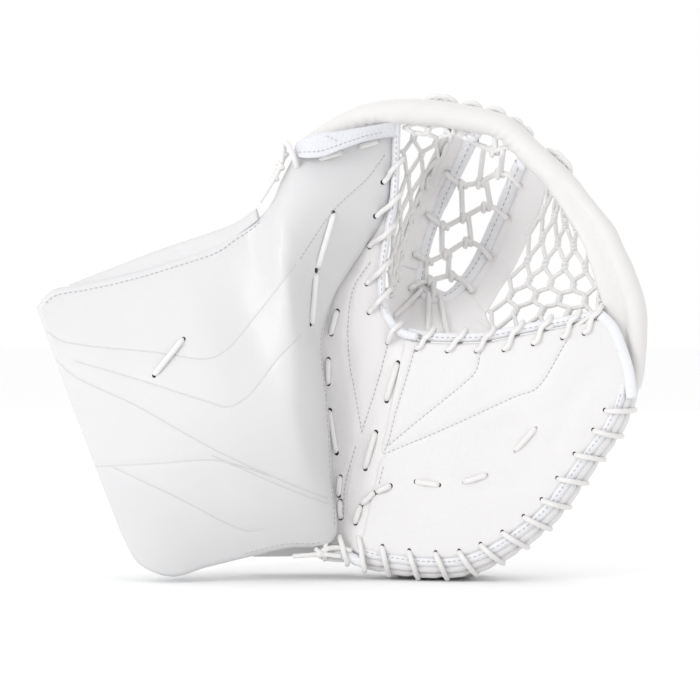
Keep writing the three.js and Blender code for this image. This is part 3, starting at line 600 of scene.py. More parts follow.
# ---------------------------------------------------------------- free lace tails
# Each tail starts inside its knot, and the last 17 to 19 mm hang free.
THUMB_TAIL = [
    (-38.6, -3.4, 280), (-40.5, -5.5, 273.5), (-44, -8.5, 265.5), (-49, -11.5, 257.5), (-53.5, -12, 250.3),
]
HEEL_TAIL = [(-1, 8.8, 16.5), (-9, 8, 17.5), (-15, 7.3, 18), (-23, 5, 17.5), (-32, 4, 17)]


def lace_tail(name, node, points):
    path = smooth_line(points, 1.2)
    obj = solid(name, [tube_mesh(path, LACE_R, 14)], LACE)
    place_piece(obj, THUMB, "lace_cord", node)


lace_tail("thumb_lace_free_end", "thumb_lace_tail", THUMB_TAIL)
lace_tail("heel_lace_free_end", "heel_lace_tail", HEEL_TAIL)


# ---------------------------------------------------------------- cuff and thumb board
BOARD_OUTER = spline([
    (-200, -9, 181), (-190, -8, 192), (-172, -8, 196), (-150, -7, 200.6), (-130, -6, 205.8),
    (-107, -6, 213), (-83, -5, 221.4), (-71, -4, 229), (-60, -3, 235), (-51, -2, 243),
    (-45, -1, 252), (-41, 0, 262), (-37, 1, 270), (-34, 2, 276), (-31, 3, 282),
])
BOARD_INNER = spline([
    (-144.5, -6, 31), (-133.5, -5, 12.5), (-112, -5, 4), (-89, -4, 10), (-64, -2, 16),
    (-38, 2, 22), (-5.5, 12, 26), (-6.2, 16, 66), (-9, 18, 112), (-13, 18, 158),
    (-6, 18, 186), (13, 18, 217), (28, 16, 240), (33.2, 15, 268), (34.8, 13, 296),
])
WRIST_ROW = 9 / 14
BOARD_SKIN = 9.0


def board_front(u, v):
    place = lerp(BOARD_OUTER(v), BOARD_INNER(v), u)
    crown = 8 + 28 * max(math.sin(math.pi * v), 0.0) ** 1.2
    thumb = min(max((v - 0.48) / 0.24, 0.0), 1.0)
    ridge = lerp(1.3, 0.68, ease(thumb))
    place[1] -= crown * max(math.sin(math.pi * u ** ridge), 0.0)
    return place


def surface(place, rows, columns, across=(0.0, 1.0), along=(0.0, 1.0)):
    us = lerp(across[0], across[1], even_steps(columns))
    vs = lerp(along[0], along[1], even_steps(rows))
    return np.array([[place(u, v) for u in us] for v in vs])


def padded_skin(name, grid, thickness, rim, material):
    """Closed panel from its front grid, with rounded rims."""
    fall = edge_fall(grid, rim)
    back = grid.copy()
    back[..., 1] += thickness - fall * 0.7
    front = grid.copy()
    front[..., 1] += fall
    return closed_panel(name, front, back, material)


# Faint raised lines moulded into the board, as flat (x, z) points.
BOARD_LINES = [
    [(-195, 167), (-184, 159.5), (-169, 156.5), (-122, 152), (-88, 148), (-76, 153), (-52, 181), (-30, 209)],
    [(-174, 146), (-125, 132), (-88, 120.5), (-74, 117), (-62, 123), (-40, 150), (-27, 163)],
    [(-187, 147), (-175, 136.5), (-135, 118), (-82, 89), (-43, 70.5), (-9.5, 55.8)],
    [(-84, 85.5), (-43, 66.5), (-9.5, 52.2)],
    [(-164, 77), (-120, 80), (-80, 82), (-46, 71.5)],
    [(-149, 77), (-110, 59), (-62, 35), (-52, 36)],
]
BOARD_SEAM = [(28, 281), (17, 266), (-5, 245), (-27, 213)]
BOARD_CREASES = [[(-62, 226), (-48, 196), (-20, 166)], [(-52, 238), (-36, 214), (-17, 190)]]


def cuff_board():
    grid = surface(board_front, 190, 120)
    press(grid, BOARD_LINES, 1.8, 0.45)
    press(grid, BOARD_CREASES, 5.0, 0.8)
    grid[..., 1] += 0.5 * lumps(grid, 45.0, 1)
    board = padded_skin("cuff_board_skin", grid, BOARD_SKIN, 3.0, BOARD)
    return place_piece(board, THUMB, "moulded_board", "cuff_thumb_board")


board = cuff_board()
BOARD_TREE = tree_of(board)


def board_trim():
    for index, line in enumerate(BOARD_LINES):
        ridge = tube_mesh(laid(flat_line(line, 1.5), BOARD_TREE, -0.1), 0.42, 8)
        place_piece(solid(f"board_line_{index}", [ridge], BOARD_LINE), THUMB, "moulded_board")
    sew("board_seam_stitches", BOARD_SEAM, BOARD_TREE, THUMB)
    rows = (("edge", 0.022, 0.04, 0.62, 18), ("hem", 0.984, 0.29, 0.41, 12), ("side", 0.975, 0.445, 0.66, 12))
    for name, inset, first, last, count in rows:
        along = np.linspace(first, last, count)
        row = [tuple(lerp(BOARD_OUTER(v), BOARD_INNER(v), inset)[[0, 2]]) for v in along]
        sew(f"board_{name}_stitches", row, BOARD_TREE, THUMB, pitch=3.4)


BOARD_LINE = leather("board_line_tone", (0.62, 0.615, 0.6), (0.59, 0.585, 0.57), 0.5, grain=0.3)
board_trim()


def cuff_liner():
    def front(u, v):
        place = board_front(lerp(0.07, 0.8, u), lerp(0.05, WRIST_ROW, v))
        place[1] += BOARD_SKIN + 3
        return place

    grid = surface(front, 60, 34)
    channel = np.sin(np.linspace(0, 6 * np.pi, 34)) ** 2
    grid[..., 1] -= 0.6 * channel[None, :]
    back = grid.copy()
    fall = edge_fall(grid, 4.0)
    back[..., 1] += 8 - fall + 1.4 * channel[None, :]
    grid[..., 1] += fall * 0.6
    liner = closed_panel("cuff_liner_quilt", grid, back, LINER)
    place_piece(liner, THUMB, "knit_fabric", "cuff_liner")


def cuff_edge_band():
    low = flat_spline([(-178, 191.5), (-157, 196.5), (-120, 206.3), (-83, 218.8), (-68, 228), (-54, 238.5)])
    high = flat_spline([(-179, 196), (-157, 204.5), (-121, 218.5), (-84, 231), (-70, 236.5), (-56, 246)])

    def front(u, v):
        place = lerp(low(v), high(v), u)
        place[1] = -4.5 + 5.5 * u
        return place

    grid = surface(front, 70, 12)
    band = padded_skin("cuff_edge_padding", grid, 18.0, 2.4, BOARD)
    place_piece(band, THUMB, "moulded_board", "cuff_edge_band")


def thumb_side_gusset():
    def inside(u, v):
        edge = BOARD_OUTER(lerp(WRIST_ROW, 0.97, v))
        return np.array([edge[0] + 2, lerp(edge[1] + BOARD_SKIN + 0.6, 42, u), edge[2] - 1])

    grid = surface(inside, 40, 20)
    ribs = 0.35 * np.sin(np.linspace(0, 46 * np.pi, 40))[:, None]
    inner = grid + np.array([4.0, 0, -1.0])
    grid[..., 0] -= ribs
    wall = closed_panel("thumb_side_wall", grid, inner, WRAP)
    place_piece(wall, THUMB, "knit_fabric", "thumb_side_gusset")


cuff_liner()
cuff_edge_band()
thumb_side_gusset()


# ---------------------------------------------------------------- padded pieces, blown up with cloth
PAD_PRESSURE = 3.0
CLOTH_STEPS = 20


def inflate(obj, pressure, cap):
    """Swells a closed pad with cloth pressure, keeping every point within `cap` of where it began."""
    scene = bpy.context.scene
    start = points_of(obj)
    cloth = obj.modifiers.new("fabric", "CLOTH")
    cloth.settings.quality = 5
    cloth.settings.mass = 0.15
    cloth.settings.use_pressure = True
    cloth.settings.uniform_pressure_force = pressure
    cloth.settings.effector_weights.gravity = 0.0
    cloth.settings.tension_stiffness = 12
    cloth.settings.compression_stiffness = 12
    cloth.settings.bending_stiffness = 0.4
    scene.frame_start, scene.frame_end = 1, CLOTH_STEPS
    for step in range(1, CLOTH_STEPS + 1):
        scene.frame_set(step)
    apply_modifiers(obj)
    scene.frame_set(1)
    now = points_of(obj)
    move = now - start
    length = np.linalg.norm(move, axis=1, keepdims=True)
    now = start + move * np.minimum(1, cap * MM / np.maximum(length, 1e-9))
    obj.data.vertices.foreach_set("co", now.ravel())
    smooth = obj.modifiers.new("round", "SUBSURF")
    smooth.levels = smooth.render_levels = 1
    apply_modifiers(obj)
    for polygon in obj.data.polygons:
        polygon.use_smooth = True
    return obj


def apply_modifiers(obj):
    graph = bpy.context.evaluated_depsgraph_get()
    mesh = bpy.data.meshes.new_from_object(obj.evaluated_get(graph))
    old = obj.data
    materials = list(old.materials)
    obj.modifiers.clear()
    obj.data = mesh
    if not mesh.materials:
        for material in materials:
            mesh.materials.append(material)
    bpy.data.meshes.remove(old)


def points_of(obj):
    flat = np.empty(len(obj.data.vertices) * 3)
    obj.data.vertices.foreach_get("co", flat)
    return flat.reshape(-1, 3)


def press_channels(obj, lines, width, depth):
    """Sewn channels along flat (x, z) lines, pressed into the back of a pad after it has swollen."""
    spots = points_of(obj) / MM - SHIFT
    facing = np.array([v.normal.y for v in obj.data.vertices])
    for line in lines:
        deep = ditch(spots[:, 0], spots[:, 2], flat_line(line, 4), width, depth)
        spots[:, 1] -= deep * np.clip(facing, 0, 1)
    obj.data.vertices.foreach_set("co", ((spots + SHIFT) * MM).ravel())
    obj.data.update()
    return obj


def back_stitches(name, lines, pad, body):
    """A row of stitches along each channel in the back of a pad."""
    tree = tree_of(pad)
    for index, line in enumerate(lines):
        fine = laid(flat_line(line, BACK_PITCH / 2), tree, 0.15, way=-1)
        parts = []
        for a, b in zip(fine[:-1:2], fine[1::2]):
            if np.linalg.norm(b - a) <= BACK_PITCH:
                ends = [a, lerp(a, b, 0.3), lerp(a, b, 0.7), b]
                parts.append(tube_mesh(ends, np.array([0.15, 0.34, 0.34, 0.15]), 6))
        place_piece(solid(f"{name}_{index}", parts, PALE_THREAD), body, "lace_cord")


def dome(vs, us, power=0.5):
    """0 at the sides of a grid and 1 at its middle."""
    return (np.sin(np.pi * us[None, :]) * np.sin(np.pi * vs[:, None])) ** power


def blown_pad(name, grid, back, lines, body, node, cap, channel, stitches):
    """A pad swollen with cloth, sewn through along lines on its back. channel is its width and depth."""
    pad = inflate(closed_panel(name, grid, back, PALM), PAD_PRESSURE, cap)
    press_channels(pad, lines, *channel)
    place_piece(pad, body, "white_leather", node)
    back_stitches(stitches, lines, pad, body)


def thumb_back():
    def front(u, v):
        place = board_front(lerp(0.03, 0.85, u), lerp(WRIST_ROW + 0.01, 0.98, v))
        place[1] = 44
        return place

    grid = surface(front, 40, 22)
    back = grid.copy()
    back[..., 1] = 50 + 6 * dome(np.linspace(0, 1, 40), np.linspace(0, 1, 22))
    lines = [[tuple(board_front(a, b)[[0, 2]]) for a in (0.05, 0.4, 0.83)] for b in (0.74, 0.83, 0.91)]
    blown_pad(
        "thumb_back_padding", grid, back, lines, THUMB, "thumb_back_pad",
        cap=4, channel=(2.6, 2.2), stitches="thumb_back_stitches",
    )


def thumb_stall():
    path = spline([(-24, 32.5, 168), (-16, 32, 215), (-2, 31, 276)])
    hollow = spline([(-26, 32.5, 168), (-17, 32, 213), (-4, 31, 270)])
    outer, inner = [], []
    steps, sides = 34, 30
    turn = full_turn(sides)
    for i in range(steps):
        v = i / (steps - 1)
        taper = math.sqrt(max(1 - max(v - 0.9, 0) ** 2 * 80, 0.05))
        rib = 0.3 * math.sin(i * 2.1)
        for rings, curve, wide, deep in (
            (outer, path, lerp(19, 16, v) * taper + rib, 9.4 * taper),
            (inner, hollow, lerp(16, 13, v) * taper, 7 * taper),
        ):
            centre = curve(v)
            tangent = curve(min(v + 0.02, 1)) - curve(max(v - 0.02, 0))
            side = np.array([tangent[2], 0, -tangent[0]]) / np.linalg.norm(tangent[[0, 2]])
            lift = np.outer(np.sin(turn) * deep, (0, 1, 0))
            rings.append(centre + np.outer(np.cos(turn) * wide, side) + lift)
    verts = np.concatenate(outer + inner + [outer[-1].mean(0)[None], inner[-1].mean(0)[None]])
    half = steps * sides
    faces = ring_faces(steps, sides) + [(b, a, d, c) for a, b, c, d in ring_faces(steps, sides, half)]
    for i in range(sides):
        k = (i + 1) % sides
        faces.append((k, i, half + i, half + k))
        faces.append(((steps - 1) * sides + i, (steps - 1) * sides + k, 2 * half))
        faces.append((half + (steps - 1) * sides + k, half + (steps - 1) * sides + i, 2 * half + 1))
    stall = new_object("thumb_stall_sleeve", verts, faces, LINER)
    place_piece(stall, THUMB, "knit_fabric", "thumb_stall")


def thumb_tip():
    low = spline([
        (-32, -6, 280), (-23, -14, 278.5), (-12, -17, 279.5), (1, -17, 284.5), (14, -11, 289), (27, 1, 292),
        (36, 8, 293),
    ])
    high = spline([
        (-30, -5, 289), (-17, -10, 294.6), (-4, -11, 296), (14, -7, 299), (27, 1, 301.5), (36, 6, 303),
    ])
    grid = surface(lambda u, v: lerp(low(v), high(v), u), 90, 22)
    ribs = 0.25 * np.sin(np.linspace(0, 60 * np.pi, 90))[:, None]
    grid[..., 1] += ribs
    wrap = padded_skin("thumb_tip_knit", grid, 5.0, 1.6, WRAP)
    place_piece(wrap, THUMB, "knit_fabric", "thumb_tip_wrap")
    tree = tree_of(wrap)
    row = [(-28, 282.5), (-14, 283), (1, 288), (14, 292.5), (26, 295.5)]
    sew("thumb_tip_stitches", row, tree, THUMB)
    sew("thumb_tip_dart", [(-10, 293), (-2, 289)], tree, THUMB)


thumb_back()
thumb_stall()
thumb_tip()


# ---------------------------------------------------------------- lace wound over an edge
def flat_lace_mesh(points, half_width, half_depth, normals, sides=10):
    """An oval lace: wide across its path, thin along the given normals."""
    turn = full_turn(sides)
    rings = []
    for p, t, n in zip(points, directions(points), normals):
        n = n - t * (n @ t)
        n /= max(np.linalg.norm(n), 1e-9)
        side = np.cross(t, n)
        rings.append(p + np.outer(np.cos(turn) * half_width, side) + np.outer(np.sin(turn) * half_depth, n))
    return loft(rings, points[0], points[-1])


def facing_front(path):
    return [np.array([0, -1.0, 0])] * len(path)


def surface_lace(start, end, tree, lift=1.25):
    """A lace that comes up out of one hole, lies on the surface, and dives into the next."""
    start, end = np.array(start, float), np.array(end, float)
    path = laid([lerp(start, end, t) for t in np.linspace(0, 1, 16)], tree, lift)
    path[0, 1] += LACE_DIVE
    path[-1, 1] += LACE_DIVE
    path[1, 1] += LACE_DIVE * 0.15
    path[-2, 1] += LACE_DIVE * 0.15
    path[:, 1] -= 0.8 * np.sin(np.linspace(0, np.pi, 16))
    return flat_lace_mesh(path, 1.85, 1.45, facing_front(path), sides=12)


def over_edge(spots, tree, lift, dive, rim, steps):
    """Route of a lace that comes up out of a hole, lies on the surface, and turns over an edge at rim."""
    start = laid(spots, tree, lift)
    return [start[0] + (0, dive, 0), *start] + [rim + step for step in steps]


def add_laces(name, pairs, tree, body, *nodes, lift=1.25):
    laces = [surface_lace(a, b, tree, lift) for a, b in pairs]
    place_piece(solid(name, laces, LACE), body, "lace_cord", *nodes)


def outward_of(curve, turn):
    def side(t):
        t = min(max(t, 0.0), 1.0)
        tangent = curve(min(t + 1e-3, 1)) - curve(max(t - 1e-3, 0))
        out = np.array([tangent[2] * turn, 0, -tangent[0] * turn])
        return out / np.linalg.norm(out)

    return side


# ---------------------------------------------------------------- pocket
POCKET_CENTRE = np.array([80.0, 230.0])
POCKET_RIM = spline([
    (34, 20, 165), (52, 9, 160), (75, 4, 159), (103, -1, 161), (136, -6, 167), (166, -11, 176),
    (176, -7, 192), (172, -5, 214), (161, -3, 234), (146, 0, 251), (128, 4, 268), (110, 8, 281),
    (92, 10, 291), (60, 12, 296), (38, 12, 296), (34, 14, 270), (30, 15, 240), (27, 16, 210), (29, 18, 182),
], closed=True)
RIM_POINTS = np.array([POCKET_RIM(i / 180) for i in range(180)])
RIM_OFFSET = RIM_POINTS[:, [0, 2]] - POCKET_CENTRE
RIM_ANGLE = np.arctan2(RIM_OFFSET[:, 1], RIM_OFFSET[:, 0])
RIM_REACH = np.hypot(RIM_OFFSET[:, 0], RIM_OFFSET[:, 1])
STRAP_LIFT = 6.0
STRAP_LEATHER = 3.5
NET_LIFT = 3.4  # how far the nets lie in front of the straps' surface
KNOT_LIFT = 3.8
UNDER_ROLL_Z = 250.0  # above this height the straps run behind the roll
FAR_FRONT = -99.0  # a depth in front of everything


def rim_depth(x, z):
    angle = np.arctan2(np.asarray(z) - POCKET_CENTRE[1], np.asarray(x) - POCKET_CENTRE[0])
    return np.interp(angle, RIM_ANGLE, RIM_POINTS[:, 1], period=2 * np.pi)


def pocket_depth(x, z):
    dx, dz = np.asarray(x) - POCKET_CENTRE[0], np.asarray(z) - POCKET_CENTRE[1]
    reach = np.interp(np.arctan2(dz, dx), RIM_ANGLE, RIM_REACH, period=2 * np.pi)
    rim_y = rim_depth(x, z)
    ratio = np.clip(np.hypot(dx, dz) / reach, 0, 1)
    return rim_y + (POCKET_DEPTH_Y - rim_y) * (1 - ratio ** 2.2) ** 0.75


STRAP_THUMB_LEFT = flat_spline([(71, 307), (66, 294), (55, 270), (46, 245), (38, 222), (36, 209)])
STRAP_THUMB_RIGHT = flat_spline([(93.5, 306), (87, 294), (73, 266), (62, 242), (54, 217), (55, 204)])
STRAP_FINGER_LEFT = flat_spline([
    (122, 290), (114, 274), (107, 256), (101, 236), (90, 213), (80, 195), (74, 183),
])
STRAP_FINGER_RIGHT = flat_spline([
    (142, 276), (135, 261), (134, 250), (130, 236), (118, 208), (106, 190), (94, 172),
])
BASE_LOW = flat_spline([
    (29, 178), (34, 169), (46, 163.5), (62, 162), (74, 162), (84, 162), (92, 163), (98, 164.5),
])
BASE_HIGH = flat_spline([
    (31, 193), (36, 207.5), (55, 202.5), (64, 193), (74, 190), (83, 192.5), (94, 180), (99, 168),
])


def behind_roll(x, z, gap):
    """Depth a strap's top keeps behind the roll; far in front of everything below it."""
    return np.where(z > UNDER_ROLL_Z, rim_depth(x, z) + gap, FAR_FRONT)


def leather_strap(name, left, right, rows, columns, seam, body, node, back=0.0):
    grid = surface(lambda u, v: lerp(left(v), right(v), u), rows, columns)
    x, z = grid[..., 0], grid[..., 2]
    grid[..., 1] = np.maximum(pocket_depth(x, z) - STRAP_LIFT, behind_roll(x, z, 2.5)) + back
    grid[..., 1] += ditch(x, z, seam, 1.1, 0.9)
    grid[..., 1] += 0.35 * lumps(grid, 12.0, 4)
    place_piece(padded_skin(name, grid, STRAP_LEATHER, 1.6, STRAP), body, "white_leather", node)


def edge_line(left, right, share):
    return np.array([lerp(left(v), right(v), share)[[0, 2]] for v in np.linspace(0, 1, 14)])


def u_binding():
    """The knitted band folded over the straps' inner edges, one U with its row of stitches."""
    line = [
        (92, 305), (86, 292), (80, 278), (75, 267), (65, 245), (58, 225), (54, 208), (52, 196), (56, 188),
        (65, 185), (75, 189), (84, 198), (93, 211), (104, 235), (112, 255), (117, 273), (125, 288.5),
    ]
    fine = smooth_line([(x, 0, z) for x, z in line], 1.3)
    x, z = fine[:, 0], fine[:, 2]
    fine[:, 1] = np.maximum(pocket_depth(x, z) - STRAP_LIFT + 0.2, behind_roll(x, z, 2.7))
    slope = 2.0
    normals = []
    for p in fine:
        dx = float(pocket_depth(p[0] + slope, p[2]) - pocket_depth(p[0] - slope, p[2])) / (2 * slope)
        dz = float(pocket_depth(p[0], p[2] + slope) - pocket_depth(p[0], p[2] - slope)) / (2 * slope)
        n = np.array([dx, -1.0, dz])
        normals.append(n / np.linalg.norm(n))
    band = solid("pocket_u_binding", [flat_lace_mesh(fine, 4.7, 2.3, normals, sides=22)], BINDING)
    place_piece(band, AT_POCKET, "knit_fabric")
    parts = []
    lifted = fine + np.array(normals) * 2.35
    for i in range(2, len(fine) - 4, 3):
        a, b = lifted[i], lifted[i + 2]
        mid = lerp(a, b, 0.5)
        ends = [lerp(mid, a, 0.9), lerp(mid, a, 0.5), lerp(mid, b, 0.5), lerp(mid, b, 0.9)]
        parts.append(tube_mesh(ends, np.array([0.2, 0.38, 0.38, 0.2]), 6))
    place_piece(solid("pocket_u_stitches", parts, PALE_THREAD), AT_POCKET, "lace_cord")


def t_straps():
    """Each strap: edges, rows and columns of its grid, place of its seam, body, and how far back it lies."""
    thumb = (STRAP_THUMB_LEFT, STRAP_THUMB_RIGHT, 90, 22, 0.62, THUMB, 0.0)
    finger = (STRAP_FINGER_LEFT, STRAP_FINGER_RIGHT, 90, 26, 0.42, FINGER, 0.9)
    base = (BASE_LOW, BASE_HIGH, 100, 30, 0.45, AT_POCKET, 0.0)
    for node, strap in (("t_strap_thumb", thumb), ("t_strap_finger", finger), ("pocket_base", base)):
        left, right, rows, columns, seam, body, back = strap
        line = edge_line(left, right, seam)
        leather_strap(f"{node}_leather", left, right, rows, columns, line, body, node, back)
    u_binding()


t_straps()


def net_path(points, spacing=1.8):
    fine = smooth_line([(x, 0, z) for x, z in points], spacing)
    deep = pocket_depth(fine[:, 0], fine[:, 2]) - STRAP_LIFT - NET_LIFT
    fine[:, 1] = np.maximum(deep, rim_depth(fine[:, 0], fine[:, 2]) + 1.5)
    return fine


def twisted(path, radius, pitch):
    """Two cords twisted round one path, each `radius` away from it."""
    length = np.concatenate([[0], np.cumsum(np.linalg.norm(np.diff(path, axis=0), axis=1))])
    tangents = directions(path)
    up = np.array([0, 1.0, 0])
    result = []
    for half in (0, np.pi):
        strand = []
        for p, t, s in zip(path, tangents, length):
            a = np.cross(t, up)
            a /= max(np.linalg.norm(a), 1e-9)
            b = np.cross(t, a)
            turn = 2 * np.pi * s / pitch + half
            strand.append(p + radius * (math.cos(turn) * a + math.sin(turn) * b))
        result.append(np.array(strand))
    return result


def net_piece(name, paths, knots, body, node, radius):
    parts = [tube_mesh(path, radius, 9) for path in paths]
    for x, z in knots:
        centre = np.array([x, float(pocket_depth(x, z)) - STRAP_LIFT - KNOT_LIFT, z])
        parts.append(knot_mesh(centre, radius * 1.35, (1, 0.2, 0.35), (0, 0.1, 1)))
    place_piece(solid(name, parts, LACE), body, "lace_cord", node)


CENTRE_KNOTS = [(100, 284), (93, 264), (83, 241), (71, 216), (60, 198)]
CENTRE_LEFT_ARMS = [
    [(100, 284), (91, 288), (80, 293)],
    [(93, 264), (81, 263), (76, 266), (70, 271)],
    [(83, 241), (69, 235), (63, 239), (58, 243)],
    [(71, 216), (58, 211), (53, 214), (49, 216)],
    [(60, 198), (52, 196), (46, 193)],
]
CENTRE_RIGHT_ARMS = [
    [(100, 284), (110, 286), (120, 279)],
    [(93, 264), (105, 270), (112, 268), (119, 261)],
    [(83, 241), (97, 248), (104, 247), (112, 240)],
    [(71, 216), (85, 224), (94, 221), (101, 213)],
    [(60, 198), (75, 201), (84, 196), (88, 191)],
]
CENTRE_LINKS = [
    [(101, 298), (101, 285)], [(94, 287), (93, 266)], [(106, 285), (106, 270)], [(81, 263), (82, 242)],
    [(97, 266), (101, 247)], [(68, 235), (68, 217)], [(86, 242), (88, 224)], [(57, 211), (57, 198)],
    [(73, 217), (72, 201)],
    [(62, 197), (62, 187)], [(58.5, 189), (58, 176), (57, 163)], [(66, 188), (68, 176), (70, 163)],
    [(54, 192), (45, 183), (35, 174.5)],
]


def centre_net():
    paths = [net_path(arm) for arm in CENTRE_LEFT_ARMS + CENTRE_RIGHT_ARMS + CENTRE_LINKS]
    arm_knots = [(81, 263), (69, 235), (58, 211), (105, 270), (97, 248), (85, 224), (75, 201)]
    knots = CENTRE_KNOTS + arm_knots
    net_piece("pocket_net_centre_cord", paths, knots, AT_POCKET, "pocket_net_centre", radius=1.9)


TWIST_RADIUS = 1.0


def mesh_net(left, right, cells, rounds, seed, twist_length=3.0):
    """Diamond mesh between two edges: cords zigzag along it, and twist round each other where they meet."""
    nodes, along = {}, {}
    for j in range(rounds + 1):
        v = j / rounds
        for i in range(cells + 1):
            u = i / cells
            if j % 2:
                u = min(u + 0.5 / cells, 1.0)
            p = lerp(left(v), right(v), u)
            above, below = min(v + 0.05, 1), max(v - 0.05, 0)
            ahead = lerp(left(above), right(above), u)
            behind = lerp(left(below), right(below), u)
            way = (ahead - behind) / np.linalg.norm(ahead - behind)
            nudge = 1.2 * noise.noise(Vector((i * 1.7 + seed, j * 2.3, seed)))
            meets = 0 < j < rounds and u < 1 and (i > 0 or j % 2)
            nodes[i, j] = p[[0, 2]] + nudge * np.array([1, 0.7])
            along[i, j] = way[[0, 2]] * (twist_length if meets else 0.0)
    paths = []
    for j in range(rounds):
        for i in range(cells + 1):
            for k in ((i, i - 1) if j % 2 == 0 else (i, i + 1)):
                if 0 <= k <= cells:
                    a = nodes[i, j] + along[i, j]
                    b = nodes[k, j + 1] - along[k, j + 1]
                    spread = np.array([np.sign(b[0] - a[0]) * 0.9, 0])
                    after, before = a + along[i, j] * 0.3 + spread, b - along[k, j + 1] * 0.3 - spread
                    paths.append(net_path([a, after, before, b]))
    for key, reach in along.items():
        if np.linalg.norm(reach) > 0:
            ends = nodes[key] - reach * 1.15, nodes[key] + reach * 1.15
            spine = net_path([ends[0], nodes[key], ends[1]], spacing=0.6)
            paths += twisted(spine, TWIST_RADIUS, pitch=2.3 * twist_length)
    return paths


def side_nets():
    left = flat_spline([(33, 188), (31, 206), (34, 235), (38, 262), (40, 294), (41, 303)])
    right = flat_spline([(37, 198), (40, 214), (48, 240), (58, 265), (70, 288), (74, 300)])
    paths = mesh_net(left, right, 2, 11, 1.0, twist_length=1.9)
    net_piece("pocket_net_thumb_cord", paths, [], THUMB, "pocket_net_thumb", radius=1.5)
    left = flat_spline([(136, 262), (129, 240), (121, 216), (111, 197), (101, 182), (93, 166)])
    right = flat_spline([(151, 243), (161, 226), (167, 208), (169, 192), (168, 180), (158, 168)])
    paths = mesh_net(left, right, 4, 7, 2.0)
    net_piece("pocket_net_palm_cord", paths, [], FINGER, "pocket_net_palm", radius=1.55)


centre_net()
side_nets()


# ---------------------------------------------------------------- padded roll and finger tip wing
ROLL_POINTS = [
    (-28, 3, 285), (-16, 7, 292), (4, 10, 302), (18, 10, 307), (37, 10, 309.5), (59, 10, 309), (88, 9, 304.5),
    (105, 7, 300), (114, 6, 293), (126, 4, 281), (143, 1, 265), (157, -2, 247), (169, -4, 229),
    (178, -4, 206), (185, -4, 182), (187, -5, 160), (189, -5, 141), (190, -5, 124),
]
ROLL_LINE = resampled(sampled(spline(ROLL_POINTS), 500), 1.4)
ROLL_LENGTH = len(ROLL_LINE) - 1
# Share of the roll's length, half width across the opening, half depth, and how far its middle sits inwards.
ROLL_PROFILE = np.array([
    (0.0, 3.6, 4.5, 0.0), (0.05, 6.4, 7.5, 0.0), (0.14, 8.4, 9.0, 0.0), (0.3, 8.8, 9.0, 0.1),
    (0.36, 8.4, 8.8, 0.4), (0.42, 8.0, 8.4, 0.5), (0.49, 8.8, 8.6, 0.1), (0.557, 9.4, 8.8, 1.2),
    (0.624, 10.3, 8.8, 1.4), (0.687, 11.5, 8.6, 1.5), (0.76, 13.4, 8.2, 0.8), (0.83, 14.5, 7.6, -0.2),
    (0.88, 13.6, 7.0, -0.6), (0.95, 10.4, 6.2, 0.0), (1.0, 4.5, 4.6, 0.0),
])


def profile_at(share, column):
    """One column of the profile, averaged over a short stretch so that it has no kinks."""
    nearby = np.clip(share + np.linspace(-0.05, 0.05, 9), 0, 1)
    soft = np.interp(nearby, ROLL_PROFILE[:, 0], ROLL_PROFILE[:, column]).mean()
    exact = np.interp(share, ROLL_PROFILE[:, 0], ROLL_PROFILE[:, column])
    return lerp(exact, soft, min(min(share, 1 - share) / 0.05, 1))


def nearest_share(point):
    gap = np.linalg.norm(ROLL_LINE - np.array(point, float), axis=1)
    return int(np.argmin(gap)) / ROLL_LENGTH


# Places where the roll's leather is gathered into wrinkles: x, y, z and how strongly.
ROLL_PULLS = [(-2, 9, 301, 0.7), (16, 10, 307, 0.8), (111, 6, 296, 1.0), (150, 0, 257, 0.35)]
ROLL_PULLS = [(nearest_share(pull[:3]), pull[3]) for pull in ROLL_PULLS]
FLAP_CREASE = 0.14  # where the tube ends and the flap begins, across the roll: -1 outside, 1 inside


def flap_front(cosine, wide):
    """Depth of the roll's front where it is a tube with a flat flap inside it."""
    middle, half = (FLAP_CREASE - 1) / 2, (FLAP_CREASE + 1) / 2
    tube = np.sqrt(np.maximum(1 - ((cosine - middle) / half) ** 2, 0)) * wide * half
    flap = 3.4 * np.maximum(1 - cosine ** 4, 0) ** 0.5
    return np.maximum(tube, flap)


